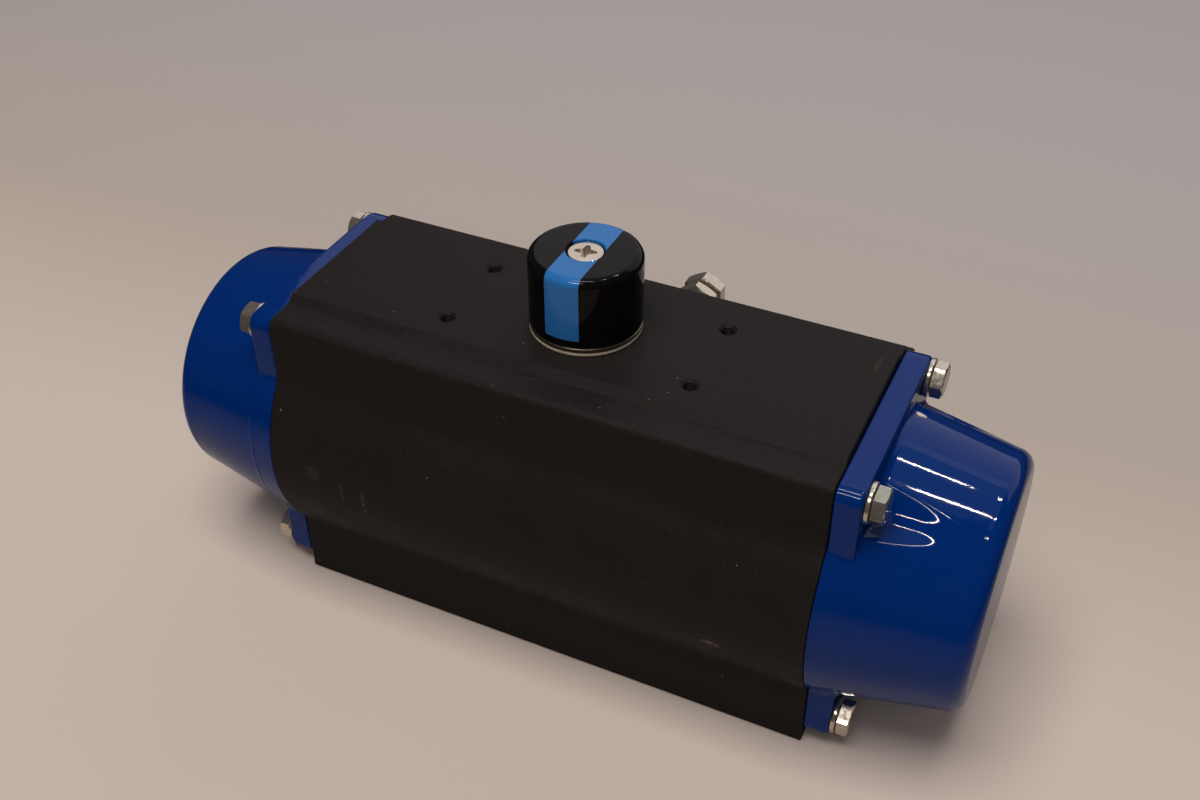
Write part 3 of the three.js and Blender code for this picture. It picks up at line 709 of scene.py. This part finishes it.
def make_cam():
    """A fan whose two straight sides meet the stop screws, on the pinion's flats."""
    shaft = 11.5
    start = math.degrees(math.pi - math.asin(CAM_CONTACT / CAM_R))
    outline = [(-shaft - 0.5, CAM_CONTACT)] + arc(0, 0, CAM_R, start, 450 - start)
    outline += [(CAM_CONTACT, -shaft - 0.5)] + arc(0, 0, 15.5, -48, 138)
    fan = prism(outline[::-1], "z", 84.4, 91.6, edge=0.3)
    flats = block((-9.8, -20, 70), (9.8, 20, 100))
    seat = boolean(rod("z", shaft + 0.3, 80, 100, ROUND), [flats], "INTERSECT")
    return boolean(fan, [seat])


def make_circlip():
    ring = tube("z", 10.1, 13.8, 111.7, 112.9, ROUND, edge=0.15)
    return boolean(ring, [block((-2.5, 5, 105), (2.5, 20, 120))])


# -------------------------------- springs

SPRING_WIRE = 1.3  # radius
SPRING_R = 9.4
CLOSED_COILS = 1.0  # at each end
LIVE_COILS = 4.6
COIL_STEPS = 40
CLOSED_PITCH = 2.1 * SPRING_WIRE


def make_spring(node):
    """A round-wire coil between the piston and the cap, with a closed coil at each end."""
    low, high = extent(node, 0)
    y, z = (sum(extent(node, axis)) / 2 for axis in (1, 2))
    start, run = low + SPRING_WIRE, high - low - 2 * SPRING_WIRE
    pitch = (run - 2 * CLOSED_COILS * CLOSED_PITCH) / LIVE_COILS
    section = angles_of(10)
    rings = []
    for i in range(int((2 * CLOSED_COILS + LIVE_COILS) * COIL_STEPS) + 1):
        turn = i / COIL_STEPS
        x = start + min(turn, CLOSED_COILS) * CLOSED_PITCH
        x += min(max(turn - CLOSED_COILS, 0), LIVE_COILS) * pitch
        x += max(turn - CLOSED_COILS - LIVE_COILS, 0) * CLOSED_PITCH
        a = 2 * math.pi * turn
        rings.append([
            (x + SPRING_WIRE * math.sin(s),
             y + (SPRING_R + SPRING_WIRE * math.cos(s)) * math.cos(a),
             z + (SPRING_R + SPRING_WIRE * math.cos(s)) * math.sin(a))
            for s in section
        ])
    return skin(rings)


# -------------------------------- materials

# pale scuffs on the body: their middles and half lengths, in mm, and how strong they are
SCUFFS = (
    ((62, -46, 41), (4, 4, 1.6), 1),
    ((-64, -48, 54), (0.9, 4, 5), 0.3),
    ((-56, -48, 52), (0.9, 4, 7), 0.4),
    ((-75, -48, 58), (3, 4, 3), 0.25),
    ((80, -37, 70), (1.2, 5, 4), 0.25),
    ((88, -42, 33), (4, 6, 2), 0.3),
    ((86, 17, 108.5), (1.2, 5, 2), 0.2),
)


class Finish:
    """A Principled material with a few procedural layers. Texture sizes are in millimetres."""

    def __init__(self, name, colour, roughness, metallic=0.0, **sockets):
        self.material = bpy.data.materials.new(name)
        self.material.use_nodes = True
        self.tree = self.material.node_tree
        self.shader = self.tree.nodes["Principled BSDF"]
        self.shader.inputs["Base Color"].default_value = (*colour, 1)
        self.shader.inputs["Roughness"].default_value = roughness
        self.shader.inputs["Metallic"].default_value = metallic
        for socket, value in sockets.items():
            socket = socket.replace("_", " ").title().replace("Ior", "IOR")
            self.shader.inputs[socket].default_value = value
        self.colour = (*colour, 1)
        self.colour_from = None
        self.normal_from = None
        coordinates = self.tree.nodes.new("ShaderNodeTexCoord")
        self.position = coordinates.outputs["Object"]

    def node(self, kind, links=(), **values):
        made = self.tree.nodes.new(kind)
        for name, value in values.items():
            if hasattr(made, name):
                setattr(made, name, value)
            else:
                made.inputs[name.replace("_", " ").title()].default_value = value
        for socket, source in links:
            self.tree.links.new(source, made.inputs[socket])
        return made

    def place(self, stretch=(1, 1, 1), turn=(0, 0, 0), shift=(0, 0, 0)):
        """Coordinates in mm, stretched: a larger number makes finer detail along that axis."""
        mapping = self.node("ShaderNodeMapping", [("Vector", self.position)])
        mapping.inputs["Scale"].default_value = [s / MM for s in stretch]
        mapping.inputs["Rotation"].default_value = [math.radians(t) for t in turn]
        mapping.inputs["Location"].default_value = shift
        return mapping.outputs["Vector"]

    def noise(self, size, detail=2.0, distortion=0.0, **where):
        """Noise with features of about that size in mm."""
        made = self.node("ShaderNodeTexNoise", [("Vector", self.place(**where))],
                         scale=1.0 / size, detail=detail, distortion=distortion)
        return made.outputs["Fac"]

    def between(self, source, low, high, to_low=0.0, to_high=1.0):
        """source from low to high, mapped to a new range and held there."""
        made = self.node("ShaderNodeMapRange", [("Value", source)])
        limits = {"From Min": low, "From Max": high, "To Min": to_low, "To Max": to_high}
        for name, value in limits.items():
            made.inputs[name].default_value = value
        return made.outputs["Result"]

    def times(self, a, b):
        made = self.node("ShaderNodeMath", [(0, a), (1, b)], operation="MULTIPLY")
        return made.outputs[0]

    def greater(self, a, b):
        made = self.node("ShaderNodeMath", [(0, a), (1, b)], operation="MAXIMUM")
        return made.outputs[0]

    def specks(self, cell, size, chance, **where):
        """Small round spots: one cell in a few holds one. Sizes in mm."""
        cells = self.node("ShaderNodeTexVoronoi", [("Vector", self.place(**where))], scale=1.0 / cell)
        spot = self.between(cells.outputs["Distance"], size / cell, size / cell * 0.5)
        split = self.node("ShaderNodeSeparateColor", [("Color", cells.outputs["Color"])])
        kept = self.between(split.outputs["Red"], 1 - chance, 1 - chance + 0.02)
        return self.times(spot, kept)

    def near(self, spot, reach):
        """1 in the middle of an ellipsoid and 0 outside. The middle is in mm about the pinion axis."""
        mapping = self.node("ShaderNodeMapping", [("Vector", self.position)])
        mapping.inputs["Scale"].default_value = [1 / (r * MM) for r in reach]
        centre = (spot[0], spot[1] + AXIS_Y, spot[2])
        mapping.inputs["Location"].default_value = [-c / r for c, r in zip(centre, reach)]
        length = self.node("ShaderNodeVectorMath", [(0, mapping.outputs["Vector"])], operation="LENGTH")
        return self.between(length.outputs["Value"], 0.4, 1, 1, 0)

    def streaks(self, length, width, share, turn=(0, 0, 0), shift=(0, 0, 0)):
        """Thin broken lines, like light scratches. share is how much noise is cut away, from 0 to 1."""
        stretch = (1 / length, 1 / width, 1 / width)
        lines = self.noise(1.0, detail=1.0, stretch=stretch, turn=turn, shift=shift)
        return self.between(lines, share, share + 0.03)

    def tint(self, mask, colour):
        """Mixes the colour so far towards another by a mask from 0 to 1."""
        mix = self.node("ShaderNodeMix", data_type="RGBA")
        self.tree.links.new(mask, mix.inputs["Factor"])
        if self.colour_from is None:
            mix.inputs[6].default_value = self.colour
        else:
            self.tree.links.new(self.colour_from, mix.inputs[6])
        mix.inputs[7].default_value = (*colour, 1)
        self.colour_from = mix.outputs[2]
        self.tree.links.new(self.colour_from, self.shader.inputs["Base Color"])
        return self

    def rough(self, source):
        self.tree.links.new(source, self.shader.inputs["Roughness"])
        return self

    def bump(self, height, depth, strength=1.0):
        """Relief of that depth in mm at full height."""
        made = self.node("ShaderNodeBump", [("Height", height)], strength=strength, distance=depth * MM)
        if self.normal_from is not None:
            self.tree.links.new(self.normal_from, made.inputs["Normal"])
        self.normal_from = made.outputs["Normal"]
        self.tree.links.new(self.normal_from, self.shader.inputs["Normal"])
        return self


def black_anodised():
    """Hard anodised extrusion: satin, fine lines along the length, dust, scuffs and a few scratches."""
    finish = Finish("black_anodised", (0.0135, 0.0108, 0.0104), 0.5, specular_ior_level=0.1)
    cloud = finish.noise(14, detail=5)
    finish.tint(finish.between(cloud, 0.35, 0.7, 0, 0.7), (0.018, 0.0145, 0.014))
    mottle = finish.noise(0.5, detail=3)
    finish.tint(finish.between(mottle, 0.5, 0.75, 0, 0.65), (0.033, 0.028, 0.026))
    patches = finish.between(finish.noise(30, detail=2, shift=(4, 4, 4)), 0.45, 0.62)
    scratches = finish.streaks(9, 0.22, 0.75, turn=(0, 0, 31))
    scratches = finish.greater(scratches, finish.streaks(7, 0.2, 0.76, turn=(24, 0, 68), shift=(3, 9, 2)))
    scratches = finish.greater(scratches, finish.streaks(16, 0.2, 0.765, turn=(0, 8, -6), shift=(7, 1, 5)))
    finish.tint(finish.times(finish.between(scratches, 0, 1, 0, 0.35), patches), (0.13, 0.11, 0.1))
    rubbed = finish.between(finish.noise(0.42, detail=2, shift=(6, 2, 9)), 0.5, 0.62)
    for spot, reach, strength in SCUFFS:
        mark = finish.times(finish.near(spot, reach), rubbed)
        finish.tint(finish.between(mark, 0, 0.6, 0, strength), (0.2, 0.165, 0.13))
    dust = finish.specks(4, 0.27, 0.14)
    dust = finish.greater(dust, finish.specks(12, 0.42, 0.12, shift=(2, 5, 1)))
    finish.tint(finish.between(dust, 0, 1, 0, 0.7), (0.3, 0.27, 0.24))
    finish.rough(finish.between(cloud, 0.3, 0.7, 0.45, 0.58))
    finish.bump(finish.noise(1.0, detail=3, stretch=(0.015, 3, 3)), 0.012, 0.5)
    return finish.bump(finish.noise(0.3, detail=3), 0.03, 0.7)


def blue_paint():
    """Glossy powder coat with slight orange peel, small nicks and wiped dust."""
    finish = Finish("blue_paint", (0.0002, 0.0245, 0.172), 0.06, specular_ior_level=0.22)
    depth = finish.noise(35, detail=2)
    finish.tint(finish.between(depth, 0.3, 0.75, 0, 0.5), (0.0004, 0.032, 0.195))
    nicks = finish.specks(11, 0.32, 0.1, shift=(3, 1, 8))
    finish.tint(finish.between(nicks, 0, 1, 0, 0.7), (0.45, 0.47, 0.5))
    wiped = finish.streaks(6, 0.25, 0.74, turn=(20, 0, 40))
    smear = finish.between(finish.noise(18, detail=3, shift=(1, 7, 2)), 0.5, 0.75)
    finish.tint(finish.times(finish.between(wiped, 0, 1, 0, 0.25), smear), (0.12, 0.2, 0.4))
    finish.rough(finish.between(finish.noise(9, detail=3, shift=(5, 5, 5)), 0.35, 0.8, 0.03, 0.07))
    return finish.bump(finish.noise(1.7, detail=1), 0.02, 0.35)


def stainless():
    """Forged and turned fasteners: warm grey, a little stained."""
    finish = Finish("stainless", (0.78, 0.69, 0.58), 0.25, 0.9)
    stain = finish.noise(4, detail=3)
    finish.tint(finish.between(stain, 0.5, 0.75, 0, 0.4), (0.5, 0.43, 0.34))
    finish.rough(finish.between(finish.noise(1.2, detail=3), 0.3, 0.7, 0.14, 0.24))
    return finish.bump(finish.noise(0.7, detail=2), 0.012, 0.3)


def washer_steel():
    """Thin steel disc under the indicator, yellowed."""
    finish = Finish("washer_steel", (0.5, 0.44, 0.33), 0.3, 1.0)
    finish.tint(finish.between(finish.noise(3, detail=3), 0.4, 0.7, 0, 0.6), (0.33, 0.27, 0.18))
    return finish.bump(finish.noise(0.4, detail=2), 0.01, 0.3)


def plated_steel():
    """Turned and plated: faint rings round the axis."""
    finish = Finish("plated_steel", (0.55, 0.54, 0.51), 0.25, 1.0)
    finish.tint(finish.between(finish.noise(5, detail=3), 0.4, 0.7, 0, 0.5), (0.42, 0.41, 0.38))
    return finish.bump(finish.noise(1.0, detail=2, stretch=(0.3, 0.3, 4)), 0.008, 0.4)


def cast_aluminium():
    """Die-cast skin, bare."""
    finish = Finish("cast_aluminium", (0.55, 0.56, 0.57), 0.45, 1.0)
    finish.tint(finish.between(finish.noise(8, detail=4), 0.4, 0.7, 0, 0.5), (0.4, 0.41, 0.42))
    return finish.bump(finish.noise(0.6, detail=3), 0.03, 0.5)


def black_rubber():
    finish = Finish("black_rubber", (0.02, 0.02, 0.02), 0.65)
    finish.tint(finish.between(finish.noise(3, detail=3), 0.4, 0.7, 0, 0.5), (0.04, 0.04, 0.04))
    return finish.bump(finish.noise(0.4, detail=2), 0.01, 0.3)


def white_plastic():
    """Natural acetal, aged to a light tan."""
    finish = Finish("white_plastic", (0.5, 0.43, 0.31), 0.45)
    finish.tint(finish.between(finish.noise(4, detail=3), 0.4, 0.7, 0, 0.5), (0.38, 0.31, 0.21))
    return finish.bump(finish.noise(0.5, detail=2), 0.01, 0.3)


def gloss_black():
    """Moulded plastic, high gloss, with faint rub marks."""
    finish = Finish("gloss_black", (0.0045, 0.0035, 0.004), 0.08, specular_ior_level=0.135)
    finish.tint(finish.between(finish.noise(7, detail=3), 0.45, 0.8, 0, 0.4), (0.009, 0.007, 0.0075))
    finish.rough(finish.between(finish.noise(5, detail=4, shift=(2, 2, 2)), 0.35, 0.75, 0.04, 0.11))
    return finish.bump(finish.noise(2.2, detail=1), 0.012, 0.3)


def gloss_blue():
    """The indicator's inlay, a light blue plastic."""
    finish = Finish("gloss_blue", (0.025, 0.175, 0.49), 0.16, specular_ior_level=0.28)
    finish.tint(finish.between(finish.noise(6, detail=3), 0.4, 0.75, 0, 0.5), (0.034, 0.19, 0.52))
    finish.rough(finish.between(finish.noise(4, detail=3, shift=(6, 2, 2)), 0.35, 0.75, 0.09, 0.17))
    return finish.bump(finish.noise(1.8, detail=1), 0.015, 0.3)


def spring_steel():
    finish = Finish("spring_steel", (0.05, 0.05, 0.055), 0.4, 0.4)
    finish.tint(finish.between(finish.noise(3, detail=3), 0.4, 0.7, 0, 0.6), (0.09, 0.09, 0.1))
    return finish.bump(finish.noise(0.4, detail=2), 0.02, 0.4)


MAKERS = (black_anodised, blue_paint, stainless, washer_steel, plated_steel, cast_aluminium, black_rubber,
          white_plastic, gloss_black, gloss_blue, spring_steel)
MATERIALS = {make.__name__: make().material for make in MAKERS}
SLOT_OF = {part["node"]: part["material_slot"] for part in frame["record"]["subparts"]}

# -------------------------------- placing the pieces


BOLT_TURNS = {"right": (3, -19, 21, 23), "left": (14, -22, 3, 17)}  # degrees, where tightening ended


def piece(node, mesh, sharp=32):
    """Puts a mesh where a CAD node is, hides the node, and gives the mesh that node's finish."""
    mesh.transform(TO_ROW)
    mesh.polygons.foreach_set("use_smooth", [True] * len(mesh.polygons))
    mesh.set_sharp_from_angle(angle=math.radians(sharp))
    mesh.materials.clear()
    mesh.materials.append(MATERIALS[SLOT_OF[node]])
    thing = bpy.data.objects.new(f"{node}_fine", mesh)
    bpy.context.scene.collection.objects.link(thing)
    normals = thing.modifiers.new("normals", "WEIGHTED_NORMAL")
    normals.keep_sharp = True
    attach(thing, frame["nodes"][node]["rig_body"])
    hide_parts(node)
    return thing


def place_end(side, angle):
    """Cap, seals, bolts, washers and springs of one end. The left is the right turned half a turn."""
    def put(node, mesh, **options):
        return piece(node, moved(mesh, angle=angle), **options)

    put(f"end_cap_{side}", make_cap(side), sharp=40)
    put(f"cap_seal_{side}", torus("x", sum(SEAL_GROOVE[:2]) / 2, SEAL_WIRE, FLANGE_IN + SEAL_WIRE, IN_BORE))
    put(f"piston_ring_{side}", torus("x", 40.2, 1.5, PISTON_RING_X, IN_BORE))
    put(f"piston_band_{side}", tube("x", 39.9, 41.7, *PISTON_BAND_X, FINE, 0.15, IN_BORE))
    centres = [(sy * BOLT[0], BORE_Z + sz * BOLT[1]) for sy in (-1, 1) for sz in (-1, 1)]
    turns = BOLT_TURNS[side]
    washer_low = FLANGE_OUT + 0.1
    seat = washer_low + 1.55
    for i, ((y, z), turn) in enumerate(zip(centres, turns), 1):
        washer = tube("x", 3.3, 6, washer_low, washer_low + 1.4, SMALL * 2, edge=0.3)
        head = bolt("x", 10, 2.95, 1, seat - 22, seat, seat + 4)
        put(f"cap_washer_{side}_{i}", moved(washer, (0, y, z)))
        put(f"cap_bolt_{side}_{i}", moved(head, (0, y, z), turn, "X"))
    for i in (1, 2, 3):
        node = f"return_spring_{side}_{i}"
        spring = piece(node, make_spring(node), sharp=60)
        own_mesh(spring)


def place_stops():
    head_z = STOP[1]
    for name, x, turn in (("closed", -STOP[0], 41), ("open", STOP[0], 30)):
        at = (x, 0, head_z)
        low, high = extent(f"stop_screw_{name}", 1)
        screw = bolt("y", 13, 3.95, 1.25, low, high - 5, high)
        piece(f"stop_screw_{name}", moved(moved(screw, angle=turn, axis="Y"), at))
        low, high = extent(f"stop_nut_{name}", 1)
        piece(f"stop_nut_{name}", moved(moved(nut("y", 13, 4.1, low, high), angle=26, axis="Y"), at))
        low, high = extent(f"stop_seal_{name}", 1)
        piece(f"stop_seal_{name}", tube("y", 4.2, 6.2, low, high, SMALL * 2, 0.5, at))


def place_pinion_group():
    piece("pinion", make_pinion())
    piece("stop_cam", make_cam())
    piece("circlip", make_circlip())
    piece("pinion_ring_top", torus("z", 11.1, 0.9, 98.9))
    piece("pinion_ring_bottom", torus("z", 16, 1.1, 11.1))
    for node, inner in (("pinion_bearing_top", 12.3), ("pinion_bearing_bottom", 17.3),
                        ("thrust_bearing", 12.3), ("thrust_washer", 12.3)):
        low, high = extent(node, 2)
        piece(node, tube("z", inner, extent(node, 0)[1], low, high, FINE, 0.25))
    piece("indicator", make_indicator())
    piece("indicator_stripe_front", make_stripe(-1))
    piece("indicator_stripe_back", make_stripe(1))
    piece("indicator_screw", make_indicator_screw())


def finish_kept_nodes():
    """CAD nodes whose own shape is shown take the finish of their slot."""
    for name, node in frame["nodes"].items():
        if not node.hide_render:
            node.data.materials.clear()
            node.data.materials.append(MATERIALS[SLOT_OF[name]])


# -------------------------------- stage, light and camera

CAMERA_AT = (0.15049, -0.31433, 0.34997)
CAMERA_FORWARD = (-0.33604, 0.70843, -0.62065)
CAMERA_RIGHT = (0.90412, 0.42727, -0.00181)
LENS = 41.41
FLOOR_R = 1.1  # m
FLOOR_DIMMED = 0.3  # how much darker reflections of the floor are even close by: painted shade seen in the gloss
FLOOR_REFLECTION_FADE = (0.2, 0.42)  # m from the middle: painted shade in reflections, where the floor fades to black between the two
ROOM = (0.04, 0.037, 0.036, 1)
WALL = (0.47, 0.4, 0.35, 1)
STREAKS = (  # direction, size, power, and the direction along each
    ((0.242, 0.387, 0.89), (0.15, 0.035), 2.6, (0.9, 0.245, -0.35)),
    ((0.3, 0.075, 0.95), (0.14, 0.035), 2.4, (0.86, 0.4, -0.3)),
    ((0.285, -0.23, 0.93), (0.05, 0.03), 0.8, (1, 0, 0)),
    ((0.02, -0.61, 0.79), (0.7, 0.05), 10, (1, 0, 0)),
    ((0.02, -0.15, 0.98), (0.7, 0.05), 8, (1, 0, 0)),
)
BEHIND = (0.1, 1, 0.62)
BACKDROP = (1, 0.95, 0.96)
COOL = (0.8, 0.97, 1)
WARM = (1, 0.97, 0.94)


def make_floor():
    """A pale cloth on a round table top, with painted shade: a little darker and greyer towards the back,
    where the light falls off.
    """
    finish = Finish("floor", (0.745, 0.63, 0.56), 0.9, specular_ior_level=0.1)
    finish.tint(finish.between(finish.noise(260, detail=3), 0.35, 0.7, 0, 0.6), (0.705, 0.59, 0.525))
    back = finish.node("ShaderNodeSeparateXYZ", [("Vector", finish.position)]).outputs["Y"]
    # Painted shade: the cloth darkens, then turns greyer, towards the back as the light falls off.
    finish.tint(finish.between(back, 0, 0.14, 0, 0.8), (0.56, 0.475, 0.415))
    finish.tint(finish.between(back, 0.1, 0.42, 0, 0.8), (0.56, 0.535, 0.545))
    # Painted shade in reflections: glossy rays see the floor darker close by and black further out.
    path = finish.node("ShaderNodeLightPath")
    reach = finish.node("ShaderNodeVectorMath", [(0, finish.position)], operation="LENGTH")
    dimmed = finish.between(reach.outputs["Value"], *FLOOR_REFLECTION_FADE, FLOOR_DIMMED, 1)
    finish.tint(finish.times(path.outputs["Is Glossy Ray"], dimmed), (0, 0, 0))
    finish.bump(finish.noise(90, detail=3), 1.5, 0.15)
    sides = 128
    angles = [2 * math.pi * i / sides for i in range(sides)]
    mesh = bpy.data.meshes.new("floor")
    mesh.from_pydata([(FLOOR_R * math.cos(a), FLOOR_R * math.sin(a), -0.0004) for a in angles], [],
                     [tuple(range(sides))])
    mesh.materials.append(finish.material)
    floor = bpy.data.objects.new("floor", mesh)
    bpy.context.scene.collection.objects.link(floor)


def lamp(name, direction, distance, size, power, colour=WARM, along=(1, 0, 0), lights=True,
         mirrored=True):
    """A rectangular lamp that faces the object and lights it, shows in its gloss, or both.

    Where lamps overlap as seen from the object, only the nearest shows in its gloss.
    """
    data = bpy.data.lights.new(name, "AREA")
    data.shape = "RECTANGLE"
    data.size, data.size_y = size
    data.energy = power
    data.color = colour
    thing = bpy.data.objects.new(name, data)
    away = Vector(direction).normalized()
    across = away.cross(Vector(along)).normalized()
    turn = Matrix((across.cross(away), across, away)).transposed()
    thing.matrix_world = Matrix.Translation(away * distance + Vector((0, 0, 0.06))) @ turn.to_4x4()
    thing.visible_camera = False
    thing.visible_diffuse = lights
    thing.visible_glossy = mirrored
    bpy.context.scene.collection.objects.link(thing)


def make_world():
    """A dark room round the table, which the camera sees as a pale wall."""
    world = bpy.data.worlds.new("room")
    world.use_nodes = True
    tree = world.node_tree
    path = tree.nodes.new("ShaderNodeLightPath")
    mix = tree.nodes.new("ShaderNodeMix")
    mix.data_type = "RGBA"
    mix.inputs[6].default_value = ROOM
    mix.inputs[7].default_value = WALL
    tree.links.new(path.outputs["Is Camera Ray"], mix.inputs["Factor"])
    tree.links.new(mix.outputs[2], tree.nodes["Background"].inputs["Color"])
    bpy.context.scene.world = world


def make_lights():
    """Broad lamps that light the object, then narrow ones that only show as streaks in the paint."""
    lamp("key", (-0.02, -0.25, 1), 1.9, (1.1, 1.1), 25, mirrored=False)
    lamp("fill", (0.3, -0.9, 0.8), 1.7, (1.0, 1.0), 3, mirrored=False)
    lamp("ceiling", (-0.05, 0.33, 1), 1.9, (1.6, 1.75), 3.4, COOL, lights=False)
    lamp("backdrop", BEHIND, 1.9, (3.2, 1.5), 6.5, BACKDROP, mirrored=False)
    lamp("backdrop_shine", BEHIND, 1.85, (3.12, 1.46), 9, BACKDROP, lights=False)
    for i, (direction, size, power, along) in enumerate(STREAKS):
        lamp(f"streak_{i}", direction, 2.0, size, power, along=along, lights=False)


def make_camera():
    """A camera above the right front of the object, turned a hair about its own line of sight."""
    camera = bpy.data.cameras.new("camera")
    camera.sensor_width = 36
    camera.lens = LENS
    camera.clip_start = 0.01
    thing = bpy.data.objects.new("camera", camera)
    bpy.context.scene.collection.objects.link(thing)
    forward = Vector(CAMERA_FORWARD).normalized()
    right = Vector(CAMERA_RIGHT)
    right = (right - forward * right.dot(forward)).normalized()
    turn = Matrix((right, right.cross(forward), -forward)).transposed()
    thing.matrix_world = Matrix.Translation(CAMERA_AT) @ turn.to_4x4()
    bpy.context.scene.camera = thing


make_camera()
make_world()
make_lights()
make_floor()
piece("body", make_body())
place_end("right", 0)
place_end("left", 180)
place_stops()
place_pinion_group()
finish_kept_nodes()
bpy.context.scene.view_settings.view_transform = "Standard"
